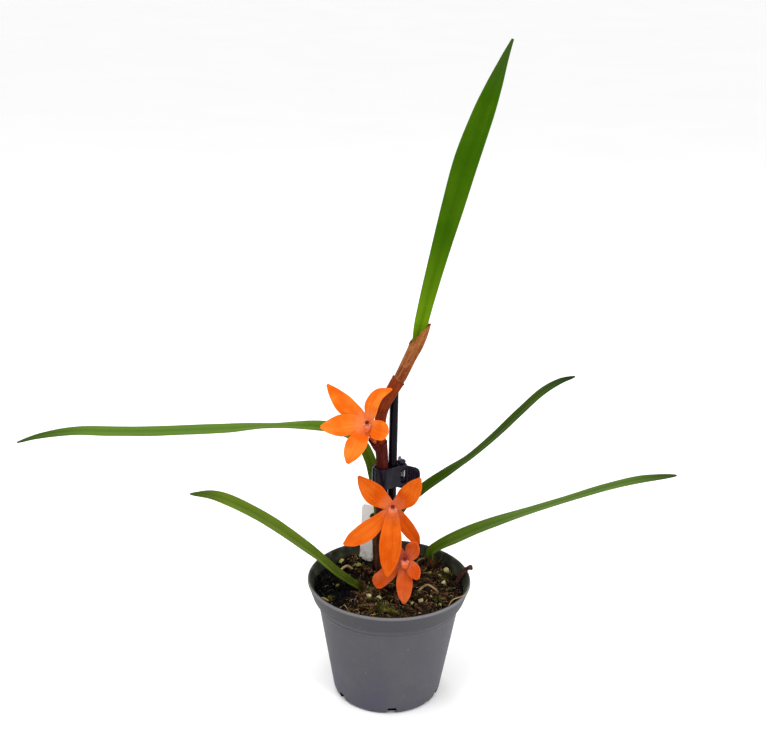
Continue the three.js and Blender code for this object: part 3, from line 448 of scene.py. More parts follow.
def rounded(profile, radius):
    """The profile with its inner corners turned into short curves."""
    cuts = 4
    points = [np.array(p, float) for p in profile]
    out = [points[0]]
    for before, corner, after in zip(points, points[1:], points[2:]):
        reach = [min(radius, 0.45 * np.linalg.norm(p - corner)) for p in (before, after)]
        start = corner + unit(before - corner) * reach[0]
        end = corner + unit(after - corner) * reach[1]
        for i in range(cuts + 1):
            w = i / cuts
            out.append((1 - w) ** 2 * start + 2 * w * (1 - w) * corner + w**2 * end)
    out.append(points[-1])
    return out


def lathe(profile, sides):
    """A turned body. The profile runs from one end on the axis to the other."""
    angle = np.linspace(0, 2 * np.pi, sides, endpoint=False)
    r = np.array([max(p[0], 0.02) for p in profile])
    z = np.array([p[1] for p in profile])
    rings = [r[:, None] * np.cos(angle), r[:, None] * np.sin(angle), z[:, None] * np.ones(sides)]
    points = np.stack(rings, -1).reshape(-1, 3)
    faces = grid_quads(len(profile), sides, around=True)
    faces.append(tuple(range(sides))[::-1])
    faces.append(tuple(range((len(profile) - 1) * sides, len(profile) * sides)))
    return points, faces


def prism(outline, low, high, edge=0.14):
    """An upright plate on a flat outline, with its top and bottom edges taken off."""
    flat = np.array(outline, float)
    middle_way = unit(np.roll(flat, -1, 0) - np.roll(flat, 1, 0))
    inward = np.stack([-middle_way[:, 1], middle_way[:, 0]], 1)
    levels = [(edge, low), (0, low + edge), (0, high - edge), (edge, high)]
    rings = [np.column_stack([flat + inward * inset, np.full(len(flat), z)]) for inset, z in levels]
    n = len(flat)
    faces = grid_quads(4, n, around=True) + [tuple(range(n))[::-1], tuple(range(3 * n, 4 * n))]
    return np.concatenate(rings), faces


def bar(ring, way):
    """A bar whose end is the ring of points, drawn out along way."""
    ring = np.array(ring, float)
    n = len(ring)
    faces = [tuple(range(n)), tuple(range(n, 2 * n))[::-1]]
    faces += [(j, j + n, (j + 1) % n + n, (j + 1) % n) for j in range(n)]
    return np.concatenate([ring, ring + way]), faces


def ball(cuts):
    """A unit ball as points and faces."""
    mesh = bmesh.new()
    bmesh.ops.create_icosphere(mesh, subdivisions=cuts, radius=1)
    points = np.array([v.co for v in mesh.verts])
    faces = [tuple(v.index for v in f.verts) for f in mesh.faces]
    mesh.free()
    return points, faces


def turned(points, rng, tilt=3.2):
    """The points turned about the three axes by seeded angles."""
    a, b, c = (rng.uniform(-tilt, tilt), rng.uniform(-tilt, tilt), rng.uniform(-np.pi, np.pi))
    turn = np.array(Matrix.Rotation(c, 3, "Z") @ Matrix.Rotation(b, 3, "Y") @ Matrix.Rotation(a, 3, "X"))
    return points @ turn.T


class Form:
    """Gathers shapes that become one piece."""

    def __init__(self):
        self.points, self.faces, self.places, self.paint = [], [], [], []
        self.count = 0

    def add(self, points, faces, places=None, paint=0):
        self.points.append(points)
        self.faces += [tuple(i + self.count for i in face) for face in faces]
        self.places.append(np.zeros((len(points), 2)) if places is None else places)
        self.paint += [paint] * len(faces)
        self.count += len(points)

    def piece(self, name, materials, slot, body=PLANT, stands_for=(), crease=None):
        mesh = bpy.data.meshes.new(name)
        mesh.from_pydata((np.concatenate(self.points) * MM).tolist(), [], self.faces)
        places = np.concatenate(self.places)
        corner = np.zeros(len(mesh.loops), int)
        mesh.loops.foreach_get("vertex_index", corner)
        mesh.uv_layers.new(name="form").data.foreach_set("uv", places[corner].ravel())
        mesh.polygons.foreach_set("material_index", self.paint)
        mesh.polygons.foreach_set("use_smooth", [True] * len(mesh.polygons))
        for material in materials:
            mesh.materials.append(material)
        mesh.validate()
        if crease:
            mesh.set_sharp_from_angle(angle=math.radians(crease))
        piece = bpy.data.objects.new(name, mesh)
        bpy.context.scene.collection.objects.link(piece)
        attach(piece, body)
        if stands_for:
            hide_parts(*stands_for)
        return piece


def carve(piece, form):
    """Cuts the form's shapes out of a piece."""
    mesh = bpy.data.meshes.new("tool")
    mesh.from_pydata((np.concatenate(form.points) * MM).tolist(), [], form.faces)
    tool = bpy.data.objects.new("tool", mesh)
    bpy.context.scene.collection.objects.link(tool)
    cut = piece.modifiers.new("cut", "BOOLEAN")
    cut.operation, cut.object, cut.solver = "DIFFERENCE", tool, "EXACT"
    carved = bpy.data.meshes.new_from_object(piece.evaluated_get(bpy.context.evaluated_depsgraph_get()))
    piece.modifiers.clear()
    piece.data = carved
    bpy.data.objects.remove(tool)


# Materials
def srgb(*levels):
    """Screen levels, 0 to 255, as the linear colour that Blender takes."""
    return tuple((v / 255 / 12.92 if v < 11 else ((v / 255 + 0.055) / 1.055) ** 2.4) for v in levels) + (1.0,)


class Shader:
    """A procedural material built from nodes round one principled shader. Colours are screen levels."""

    def __init__(self, name, **sockets):
        self.material = bpy.data.materials.new(name)
        self.material.use_nodes = True
        self.tree = self.material.node_tree
        self.tree.nodes.clear()
        out = self.tree.nodes.new("ShaderNodeOutputMaterial")
        self.body = self.tree.nodes.new("ShaderNodeBsdfPrincipled")
        self.tree.links.new(self.body.outputs[0], out.inputs[0])
        self.set(**sockets)

    def put(self, socket, value):
        if isinstance(value, bpy.types.NodeSocket):
            self.tree.links.new(value, socket)
        else:
            socket.default_value = srgb(*value) if socket.type == "RGBA" else value

    def set(self, **sockets):
        for name, value in sockets.items():
            self.put(self.body.inputs[name.replace("_", " ")], value)

    def node(self, kind, inputs=(), **settings):
        node = self.tree.nodes.new("ShaderNode" + kind)
        for key, value in settings.items():
            setattr(node, key, value)
        for key, value in dict(inputs).items():
            self.put(node.inputs[key], value)
        return node

    def place(self):
        """Object coordinates in millimetres."""
        coords = self.node("TexCoord").outputs["Object"]
        return self.node("VectorMath", {0: coords, "Scale": 1000.0}, operation="SCALE").outputs[0]

    def form(self):
        """Surface coordinates: across and along."""
        return self.node("UVMap", uv_map="form").outputs[0]

    def split(self, vector):
        return self.node("SeparateXYZ", {0: vector}).outputs

    def stretch(self, vector, scale):
        return self.node("VectorMath", {0: vector, 1: scale}, operation="MULTIPLY").outputs[0]

    def noise(self, vector, scale, detail=3.0, rough=0.55, warp=0.0):
        inputs = {"Vector": vector, "Scale": scale, "Detail": detail, "Roughness": rough, "Distortion": warp}
        return self.node("TexNoise", inputs).outputs[0]

    def math(self, operation, a, b=0.0):
        return self.node("Math", {0: a, 1: b}, operation=operation).outputs[0]

    def inverse(self, value):
        return self.math("SUBTRACT", 1.0, value)

    def fade(self, value, low, high, top=1.0):
        """0 below low and top above high, smooth between."""
        inputs = {"Value": value, "From Min": low, "From Max": high, "To Max": top}
        return self.node("MapRange", inputs, interpolation_type="SMOOTHSTEP").outputs[0]

    def ramp(self, value, stops):
        node = self.node("ValToRGB", {0: value})
        steps = node.color_ramp.elements
        steps.remove(steps[1])
        steps[0].position, steps[0].color = stops[0][0], srgb(*stops[0][1])
        for place, colour in stops[1:]:
            steps.new(place).color = srgb(*colour)
        return node.outputs[0]

    def mix(self, share, a, b, blend="MIX"):
        return self.node("Mix", {0: share, 6: a, 7: b}, data_type="RGBA", blend_type=blend).outputs[2]

    def worn(self, value, spread, base):
        """Sets a roughness that rises from base by spread as value goes from 0 to 1."""
        self.set(Roughness=self.math("ADD", self.math("MULTIPLY", value, spread), base))

    def bump(self, height, strength, distance):
        """Adds relief, its depth in millimetres."""
        inputs = {"Height": height, "Strength": strength, "Distance": distance * MM}
        normal = self.body.inputs["Normal"]
        if normal.links:
            inputs["Normal"] = normal.links[0].from_socket
        self.put(normal, self.node("Bump", inputs).outputs[0])


def leaf_material(name, base, far, pale, tip, length, under=False):
    """Fleshy leaf: fine parallel veins, painted satin sheen in broad pale patches, painted shade along the
    middle groove, thin pale edges and a dull tip.
    """
    s = Shader(name, Specular_IOR_Level=0.01)
    across, along = s.split(s.form())[:2]
    veins = s.noise(s.stretch(s.form(), (15.0, 0.03, 1.0)), 1.0, 4.0, 0.6)
    patches = s.noise(s.place(), 0.07, 4.0, 0.6)
    freckles = s.noise(s.place(), 1.6, 3.0, 0.7)
    # Base to far along the leaf; leaf_left_low's near-black base is painted shadow where it enters the soil.
    colour = s.mix(s.fade(along, 4.0, length * 0.4), base, far)
    # Painted sheen: broad pale patches stand for the satin highlights of the leaf.
    colour = s.mix(s.fade(patches, 0.4, 0.66, 0.4), colour, pale)
    colour = s.mix(s.fade(veins, 0.45, 0.62, 0.28), colour, pale)
    colour = s.mix(s.fade(freckles, 0.6, 0.72, 0.16), colour, (30, 58, 6))
    # Painted shade: the middle of the blade darkened along its groove.
    middle = s.inverse(s.fade(s.math("ABSOLUTE", across), 0.0, 0.5))
    colour = s.mix(s.math("MULTIPLY", middle, 0.22), colour, (34, 64, 4))
    colour = s.mix(s.fade(s.math("ABSOLUTE", across), 0.93, 0.995, 0.4), colour, pale)
    colour = s.mix(s.fade(along, length * 0.8, length, 0.8), colour, tip)
    if under:
        colour = s.mix(0.3, colour, (98, 122, 46))
    s.set(Base_Color=colour)
    s.worn(patches, 0.22, 0.3 + 0.15 * under)
    s.bump(veins, 0.3, 0.06)
    s.bump(s.noise(s.place(), 3.0, 2.0), 0.12, 0.04)
    return s.material


def sheath_material(name, low, high, low_z, high_z, net, worn=0.55, dark=None):
    """Dry sheath: brown, with fine ribs, pale torn net and darker stains."""
    s = Shader(name, Roughness=0.6, Specular_IOR_Level=0.03)
    place = s.place()
    z = s.split(place)[2]
    form = s.stretch(s.form(), (3.4, 0.8, 1.0))
    cells = s.node("TexVoronoi", {"Vector": form, "Scale": 2.4}, feature="DISTANCE_TO_EDGE").outputs[0]
    gate = s.fade(s.noise(place, 0.35, 3.0), 0.44, 0.6)
    threads = s.math("MULTIPLY", s.inverse(s.fade(cells, 0.02, 0.13)), gate)
    streaks = s.noise(s.stretch(s.form(), (9.0, 0.1, 1.0)), 1.0, 4.0, 0.65)
    patches = s.noise(place, 0.2, 4.0, 0.6)
    colour = s.mix(s.fade(z, low_z, high_z), low, high)
    colour = s.mix(s.fade(patches, 0.42, 0.7, 0.5), colour, dark or (44, 16, 16))
    colour = s.mix(s.fade(streaks, 0.42, 0.68, 0.3), colour, net)
    colour = s.mix(s.math("MULTIPLY", threads, worn), colour, net)
    s.set(Base_Color=colour)
    s.worn(patches, 0.3, 0.45)
    s.bump(threads, 0.3, 0.06)
    s.bump(streaks, 0.3, 0.08)
    return s.material


def tepal_material(name, hub, full, bright, vein, flush):
    """Tepal: satin orange with fine lengthwise veins, rims lightened as painted light glowing through the
    thin edges, and a pale flush round the hub.
    """
    s = Shader(name, Roughness=0.55, Specular_IOR_Level=0.03)
    form, place = s.form(), s.place()
    across, along = s.split(form)[:2]
    bent = s.node("VectorMath", {0: s.stretch(form, (15.0, 0.08, 1.0)),
                                 1: s.stretch(place, (0.06, 0.06, 0.06))}).outputs[0]
    veins = s.noise(bent, 1.0, 3.0, 0.6, 0.3)
    patches = s.noise(place, 0.14, 3.0, 0.5)
    grain = s.noise(place, 2.6, 3.0, 0.7)
    colour = s.mix(s.fade(patches, 0.36, 0.68), full, bright)
    colour = s.mix(s.fade(veins, 0.48, 0.64, 0.45), colour, vein)
    colour = s.mix(s.fade(grain, 0.52, 0.7, 0.2), colour, bright)
    middle = s.inverse(s.fade(s.math("ABSOLUTE", across), 0.02, 0.12))
    colour = s.mix(s.math("MULTIPLY", middle, 0.16), colour, vein)
    # Painted light: the rims are lightened as if light glowed through the thin edges.
    colour = s.mix(s.fade(s.math("ABSOLUTE", across), 0.86, 1.0, 0.5), colour, bright)
    away = s.node("VectorMath", {0: place, 1: hub}, operation="DISTANCE").outputs["Value"]
    mottle = s.math("MULTIPLY", s.noise(place, 0.7, 3.0, 0.6), 4.0)
    near = s.inverse(s.fade(s.math("ADD", away, mottle), 3.6, 8.6))
    colour = s.mix(s.math("MULTIPLY", near, 0.5), colour, flush)
    s.set(Base_Color=colour)
    s.bump(veins, 0.4, 0.08)
    s.bump(s.noise(place, 7.0, 2.0), 0.15, 0.03)
    return s.material


def lip_material():
    s = Shader("lip_flesh", Roughness=0.5, Specular_IOR_Level=0.06)
    along = s.split(s.form())[1]
    speckle = s.noise(s.place(), 2.4, 2.0)
    colour = s.mix(s.fade(along, 0.8, 2.6), (214, 138, 112), (200, 88, 36))
    colour = s.mix(s.fade(speckle, 0.5, 0.68, 0.4), colour, (186, 70, 30))
    s.set(Base_Color=colour)
    s.bump(speckle, 0.3, 0.08)
    return s.material


def spot_material():
    s = Shader("lip_hollow", Roughness=0.3, Specular_IOR_Level=0.2)
    tone = s.noise(s.place(), 3.0)
    s.set(Base_Color=s.ramp(tone, [(0.3, (66, 2, 8)), (0.7, (112, 8, 14))]))
    s.bump(tone, 0.3, 0.05)
    return s.material


def stalk_material():
    s = Shader("stalk_skin", Roughness=0.6, Specular_IOR_Level=0.2)
    streaks = s.noise(s.stretch(s.place(), (1.4, 1.4, 0.3)), 1.0, 4.0)
    s.set(Base_Color=s.ramp(streaks, [(0.3, (120, 44, 22)), (0.7, (186, 84, 36))]))
    s.bump(streaks, 0.3, 0.1)
    return s.material


def pot_material():
    """Grey nursery-pot plastic: faint mottling, upright flow lines, dust and scuffs, and a painted highlight
    round the top of the rim.
    """
    s = Shader("pot_moulding", Specular_IOR_Level=0.2)
    place = s.place()
    z = s.split(place)[2]
    clouds = s.noise(place, 0.06, 4.0, 0.6)
    flow = s.noise(s.stretch(place, (0.9, 0.9, 0.04)), 1.0, 3.0)
    grain = s.noise(place, 6.0, 2.0)
    dust = s.noise(place, 0.8, 5.0, 0.7)
    colour = s.mix(s.fade(z, 6.0, 26.0), (71, 69, 81), (74, 73, 78))
    colour = s.mix(s.fade(clouds, 0.4, 0.7), colour, (78, 77, 81))
    colour = s.mix(s.fade(z, 36.5, 39.5), colour, (62, 61, 65))
    # Painted highlight: a lighter band round the top of the rim lip.
    colour = s.mix(s.fade(z, 44.3, 44.8, 0.5), colour, (132, 130, 133))
    colour = s.mix(s.fade(flow, 0.5, 0.7, 0.16), colour, (66, 65, 73))
    colour = s.mix(s.fade(dust, 0.6, 0.74, 0.25), colour, (122, 118, 114))
    colour = s.mix(s.fade(s.noise(place, 1.5, 1.0), 0.77, 0.8, 0.5), colour, (164, 160, 154))
    s.set(Base_Color=colour)
    s.worn(dust, 0.3, 0.42)
    s.bump(grain, 0.2, 0.03)
    s.bump(flow, 0.1, 0.08)
    return s.material


def pot_inside_material():
    """The pot's inner face: painted dark for the shade inside the pot, with an olive film of algae and dark
    crumbs.
    """
    s = Shader("pot_inside", Roughness=0.8, Specular_IOR_Level=0.15)
    place = s.place()
    film = s.noise(place, 0.25, 5.0, 0.65)
    crumbs = s.noise(place, 1.6, 5.0, 0.7)
    # The dark ramp is partly painted shade inside the pot.
    colour = s.ramp(film, [(0.3, (28, 27, 27)), (0.52, (48, 49, 41)), (0.7, (78, 80, 52))])
    colour = s.mix(s.fade(crumbs, 0.55, 0.7, 0.6), colour, (22, 16, 13))
    s.set(Base_Color=colour)
    s.bump(crumbs, 0.4, 0.15)
    return s.material


def black_material(name, deep, light, gloss):
    """Glossy black plastic with a violet cast, fine scratches and dust."""
    s = Shader(name, Specular_IOR_Level=gloss)
    place = s.place()
    smear = s.noise(place, 0.5, 4.0, 0.6)
    scratch = s.noise(s.stretch(place, (4.0, 4.0, 0.4)), 1.0, 4.0, 0.7)
    colour = s.mix(s.fade(smear, 0.35, 0.7), deep, light)
    colour = s.mix(s.fade(scratch, 0.62, 0.75, 0.2), colour, (48, 44, 58))
    s.set(Base_Color=colour)
    s.worn(smear, 0.2, 0.14)
    s.bump(scratch, 0.15, 0.04)
    return s.material


def steel_material():
    s = Shader("spring_wire", Metallic=1.0)
    drawn = s.noise(s.place(), 5.0, 4.0, 0.7)
    s.set(Base_Color=s.ramp(drawn, [(0.3, (60, 60, 66)), (0.7, (150, 150, 158))]))
    s.worn(drawn, 0.25, 0.12)
    s.bump(drawn, 0.15, 0.02)
    return s.material


def label_material():
    s = Shader("label_sheet", Specular_IOR_Level=0.4, Subsurface_Weight=0.1, Subsurface_Scale=0.002)
    place = s.place()
    dirt = s.noise(place, 0.5, 5.0, 0.7)
    z = s.split(place)[2]
    soiled = s.math("MULTIPLY", s.inverse(s.fade(z, 41.0, 50.0)), s.fade(dirt, 0.35, 0.65))
    colour = s.mix(s.fade(dirt, 0.5, 0.8), (224, 224, 222), (206, 205, 200))
    colour = s.mix(s.math("MULTIPLY", soiled, 0.7), colour, (120, 98, 72))
    s.set(Base_Color=colour)
    s.worn(dirt, 0.3, 0.35)
    s.bump(s.noise(place, 3.0, 2.0), 0.1, 0.04)
    return s.material


def earth_material(name, stops, scale, rough=0.9, relief=0.5, depth=0.3):
    """Bark, peat, moss, root or pellet: mottled by place, with a rough skin."""
    s = Shader(name, Roughness=rough, Specular_IOR_Level=0.08)
    place = s.place()
    tone = s.noise(place, scale, 4.0, 0.65)
    s.set(Base_Color=s.ramp(tone, stops))
    s.bump(s.noise(place, 1.6, 5.0, 0.7), relief, depth)
    return s.material


def floor_material():
    s = Shader("floor_board", Roughness=0.7, Specular_IOR_Level=0.2)
    tone = s.noise(s.place(), 0.004, 2.0)
    s.set(Base_Color=s.ramp(tone, [(0.3, (250, 250, 250)), (0.7, (252, 252, 252))]))
    return s.material


# Pot
def build_pot(outside, inside, hollow):
    """The turned pot with six pairs of water notches in its foot."""
    profile = [
        (0, 0), (11, 0), (11.5, 0.8), (16.7, 0.8), (17.2, 0), (BODY_LOW_RADIUS - 1.7, 0),
        (BODY_LOW_RADIUS - 0.5, 0.5), (BODY_LOW_RADIUS, 1.8), (BODY_LOW_RADIUS + 0.17, 2.8),
        *[(BODY_LOW_RADIUS + (BODY_TOP_RADIUS - BODY_LOW_RADIUS) * k / 8, 1.8 + (COLLAR_LOW - 3.1) * k / 8)
          for k in range(1, 9)],
        (BODY_TOP_RADIUS + 0.1, COLLAR_LOW - 0.7), (BODY_TOP_RADIUS + 0.42, COLLAR_LOW - 0.25),
        (BODY_TOP_RADIUS + 0.25, COLLAR_LOW + 0.25), (BODY_TOP_RADIUS + 0.7, COLLAR_LOW + 0.9),
        (COLLAR_LOW_RADIUS - 0.6, COLLAR_LOW + 1.7), (COLLAR_LOW_RADIUS, COLLAR_LOW + 2.8),
        (RIM_RADIUS - 0.35, POT_HEIGHT - 1.5), (RIM_RADIUS, POT_HEIGHT - 0.8),
        (RIM_RADIUS - 0.2, POT_HEIGHT - 0.1), (RIM_RADIUS - 0.6, POT_HEIGHT),
        (RIM_RADIUS - 1.25, POT_HEIGHT - 0.3), (COLLAR_LOW_RADIUS - POT_WALL - 0.1, COLLAR_LOW + 2.9),
        (BODY_TOP_RADIUS - POT_WALL, COLLAR_LOW - 0.6),
        (BODY_LOW_RADIUS - POT_WALL - 0.1, POT_FLOOR + 0.6), (BODY_LOW_RADIUS - POT_WALL - 0.9, POT_FLOOR),
        (0, POT_FLOOR),
    ]
    form = Form()
    form.add(*lathe(rounded(profile, 0.4), 160))
    pot = form.piece("pot_shell", [outside, inside, hollow], "pot_plastic", stands_for=("pot",), crease=50)
    notches = Form()
    for i in range(6):
        for turn, width, height in ((0.0, 3.4, NOTCH_HEIGHT), (-0.3, 2.4, 1.2)):
            half, shoulder, near = width / 2, height - 0.5, -(BODY_LOW_RADIUS + 1.7)
            arch = [(-half, -1), (half, -1), (half, shoulder), (half - 0.5, height),
                    (-half + 0.5, height), (-half, shoulder)]
            points, faces = bar([(x, near, z) for x, z in arch], (0, NOTCH_DEPTH, 0))
            angle = i * math.pi / 3 + 0.11 + turn
            notches.add(points @ np.array(Matrix.Rotation(angle, 3, "Z")).T, faces)
    carve(pot, notches)
    # Faces in and under the notched foot take the painted notch shade; other inward faces take the inner-face
    # material.
    for face in pot.data.polygons:
        reach = face.center.to_2d().length / MM
        outwards = face.normal.to_2d().dot(face.center.to_2d().normalized())
        down = face.normal.z < -0.9
        at_foot = 0.2 < face.center.z / MM < NOTCH_HEIGHT + 0.05 and reach > 15
        if at_foot and (reach < 18 or down or outwards < 0.25):
            face.material_index = 2
        elif outwards < -0.05 and not down:
            face.material_index = 1


# Potting mix
def soil_height(x, y):
    swell = 0.7 * np.sin(0.21 * x + 0.6) * np.cos(0.19 * y - 0.4)
    lumps = 0.45 * np.sin(0.83 * x + 0.37 * y) * np.sin(0.71 * y - 0.29 * x)
    return SOIL_LEVEL + swell + lumps


def soil_bed(material):
    rings, spokes, waves = 70, 180, 8
    rng = np.random.RandomState(5)
    radius = np.linspace(0.05, SOIL_REACH, rings)
    angle = np.linspace(0, 2 * np.pi, spokes, endpoint=False)
    x, y = radius[:, None] * np.cos(angle), radius[:, None] * np.sin(angle)
    crumbs = sum(
        np.sin(f * (x * math.cos(a) + y * math.sin(a)) + p) / waves
        for f, a, p in zip(rng.uniform(1.2, 4.5, waves), rng.uniform(0, 6, waves), rng.uniform(0, 6, waves))
    )
    z = soil_height(x, y) + 0.7 * crumbs + rng.uniform(-0.18, 0.18, x.shape) - 0.3
    points = np.stack([x, y, z], -1).reshape(-1, 3)
    skirt = [np.stack([r * np.cos(angle), r * np.sin(angle), np.full(spokes, level)], -1)
             for r, level in ((26.2, 38.6), (24, 35))]
    faces = grid_quads(rings + 2, spokes, around=True, flip=True)
    faces.append(tuple(range(spokes)))
    faces.append(tuple(range((rings + 1) * spokes, (rings + 2) * spokes))[::-1])
    form = Form()
    form.add(np.concatenate([points, *skirt]), faces)
    form.piece("soil_bed", [material], "soil_mix", stands_for=("soil",))


# What stands in the soil: its place and the room it takes
STANDING = [(-2.6, 4.4, 3.2), (-4, 14.5, 2.8), (1.9, 14, 2.8), (-9, -1, 3), (15.4, 15.4, 3), (5.3, -1.6, 1.6),
            (0.3, 7.6, 2), (-8.5, 18.6, 3.2)]


def free_spots(count, reach, keep, seed):
    """Seeded places on the soil, clear of what stands in it."""
    rng = random.Random(seed)
    spots = []
    while len(spots) < count:
        r, a = reach * math.sqrt(rng.random()), 2 * math.pi * rng.random()
        x, y = r * math.cos(a), r * math.sin(a)
        if all(math.hypot(x - fx, y - fy) > room + keep for fx, fy, room in STANDING):
            spots.append((x, y))
    return spots


def shadow_under_leaf(x, y):
    """How strongly the soil is painted black as the shadow under the low leaf, and left bare, 0 to 1: on the
    left.
    """
    return min(max((-6 - x - 0.35 * abs(y)) / 7, 0), 0.97)


def build_crumbs(peat, bark):
    """Fine crumbs of peat and bark all over the bed."""
    rng = np.random.RandomState(9)
    lump = ball(1)
    form = Form()
    for x, y in free_spots(4200, 26.7, -0.7, 3):
        size = rng.uniform(0.25, 0.8)
        shape = lump[0] * rng.uniform(0.3, 1.6, 3) * (1 + rng.uniform(-0.28, 0.28, (len(lump[0]), 1))) * size
        height = soil_height(x, y) + rng.uniform(-0.35, 0.5)
        # Fewer bark crumbs where the shadow under the low leaf is painted, so the peat there stays black.
        form.add(turned(shape, rng) + (x, y, height), lump[1],
                 paint=int(rng.rand() < 0.36 * (1 - shadow_under_leaf(x, y))))
    form.piece("soil_crumbs", [peat, bark], "soil_mix", crease=35)


def build_chips(bark):
    rng = np.random.RandomState(15)
    chip = ball(2)
    form = Form()
    for i, (x, y) in enumerate(free_spots(84, 24.6, 0.8, 17)):
        # No chips where the shadow under the low leaf is painted.
        if rng.rand() < shadow_under_leaf(x, y):
            continue
        size = np.array([rng.uniform(1.2, 2.9), rng.uniform(0.7, 1.3), rng.uniform(0.35, 0.75)])
        shape = np.sign(chip[0]) * np.abs(chip[0]) ** 0.6 * size
        shape = shape * (1 + 0.16 * np.sin(chip[0] @ rng.uniform(-5, 5, 3) + i)[:, None])
        height = soil_height(x, y) + rng.uniform(0, 0.8)
        form.add(turned(shape, rng, 0.7) + (x, y, height), chip[1])
    form.piece("bark_chips", [bark], "soil_mix", crease=40)


def build_pellets(material):
    """Slow-release feed pellets, split and dented, some half sunk."""
    rng = np.random.RandomState(19)
    grain = ball(3)
    seen = [(-18.4, 17.2, 1.2), (-11.6, 13.5, 1.1), (-13.2, 13.9, 0.8), (-18.9, -0.9, 0.7), (-8, -1.3, 1.0),
            (-7.3, -9, 1.2), (-3.5, -9.3, 1.0), (11.7, -10.7, 1.3), (8.6, -12.6, 0.8), (15.2, -7.9, 0.8),
            (21.6, 11.5, 1.6), (19.4, 8.4, 0.9), (20.7, 4.2, 1.2), (15.4, 10.7, 0.7), (18.4, -14.4, 0.8)]
    form = Form()
    for x, y, r in seen + [(x, y, 0.5 + 0.3 * rng.rand()) for x, y in free_spots(7, 24, 0.5, 29)]:
        way = unit(rng.normal(size=3))
        dent = 1 - 0.3 * np.exp(-((grain[0] @ way - 1) / 0.25) ** 2)
        wobble = 1 + 0.09 * np.sin(grain[0] @ rng.uniform(-4, 4, 3) * 1.4 + 2)
        shape = grain[0] * (r, r * rng.uniform(0.8, 1.15), r * 0.82) * (dent * wobble)[:, None]
        form.add(turned(shape, rng, 0.6) + (x, y, soil_height(x, y) + 0.5 * r), grain[1])
    form.piece("feed_pellets", [material], "soil_mix")


def moss_cover(x, y):
    """How thickly moss grows there, 0 to 1: in clumps, and hardly where the shadow under the low leaf is
    painted.
    """
    clumps = 0.75 * math.sin(0.5 * x + 1.3) * math.sin(0.62 * y - 0.4)
    return (0.3 + clumps + 0.5 * math.sin(0.9 * x - 0.7 * y)) * (1 - shadow_under_leaf(x, y))


def shoot(x, y, tall, rng):
    """One moss shoot: a thin three-sided blade that bends over."""
    lean, wide = rng.uniform(0, 2 * np.pi), rng.uniform(0.09, 0.2)
    out = np.array([math.cos(lean), math.sin(lean), 0])
    flank = np.array([-out[1], out[0], 0]) * wide
    foot = np.array([x, y, soil_height(x, y) - 0.1])
    knee = foot + out * rng.uniform(0.1, 0.5) * tall + (0, 0, 0.7 * tall)
    tip = knee + out * rng.uniform(0.3, 0.9) * tall + (0, 0, rng.uniform(-0.1, 0.4) * tall)
    ridge = np.cross(flank, (0, 0, 1)) * 0.6
    points = [at + way for at in (foot, knee) for way in (-flank, flank, ridge)] + [tip]
    return np.array(points), [(0, 1, 4, 3), (1, 2, 5, 4), (2, 0, 3, 5), (3, 4, 6), (4, 5, 6), (5, 3, 6)]


def build_moss(dull, fresh):
    """A thin olive cover of moss, with a few fresher cushions."""
    rng = np.random.RandomState(31)
    form = Form()
    for x, y in free_spots(19000, 26.5, -0.8, 33):
        if rng.rand() < moss_cover(x, y):
            form.add(*shoot(x, y, rng.uniform(0.5, 1.5), rng), paint=int(rng.rand() < 0.12))
    cushions = [(-2.6, -17.5, 4.2, 700), (2.5, -19.5, 2.6, 220), (21, 8, 2.4, 160), (-21.5, -11, 2, 90),
                (9, 20.5, 2.6, 140), (-6.5, -4, 2, 110), (18, -11, 2.6, 130)]
    for cx, cy, spread, count in cushions:
        for _ in range(count):
            r, a = spread * abs(rng.normal(0, 0.5)), rng.uniform(0, 2 * np.pi)
            x, y = cx + r * math.cos(a), cy + r * math.sin(a)
            if math.hypot(x, y) < 26.4:
                form.add(*shoot(x, y, rng.uniform(0.9, 2.2), rng), paint=int(rng.rand() < 0.7))
    form.piece("moss_shoots", [dull, fresh], "soil_mix")


def build_litter(root, bark):
    """Short broken fibres and fine root ends that lie on the bed."""
    rng = np.random.RandomState(47)
    form = Form()
    for x, y in free_spots(860, 25.6, 0, 53):
        # No fibres where the shadow under the low leaf is painted.
        if rng.rand() < shadow_under_leaf(x, y):
            continue
        heading, reach = rng.uniform(0, 2 * np.pi), rng.uniform(0.5, 1.4)
        way = np.array([math.cos(heading), math.sin(heading), 0]) * reach
        side = np.array([-way[1], way[0], 0]) * rng.uniform(-0.5, 0.5)
        foot = np.array([x, y, soil_height(x, y) + rng.uniform(0, 0.5)])
        rise = np.array([0, 0, rng.uniform(0.1, 1.0)])
        thick = rng.uniform(0.05, 0.11)
        rows = [(*(foot - way), thick), (*(foot + side + rise), thick),
                (*(foot + way + rise * rng.uniform(-0.2, 1)), thick / 2)]
        points, faces, places = tube(rows, 4, 5)
        form.add(points, faces, places, paint=int(rng.rand() < 0.6))
    form.piece("soil_litter", [root, bark], "soil_mix")


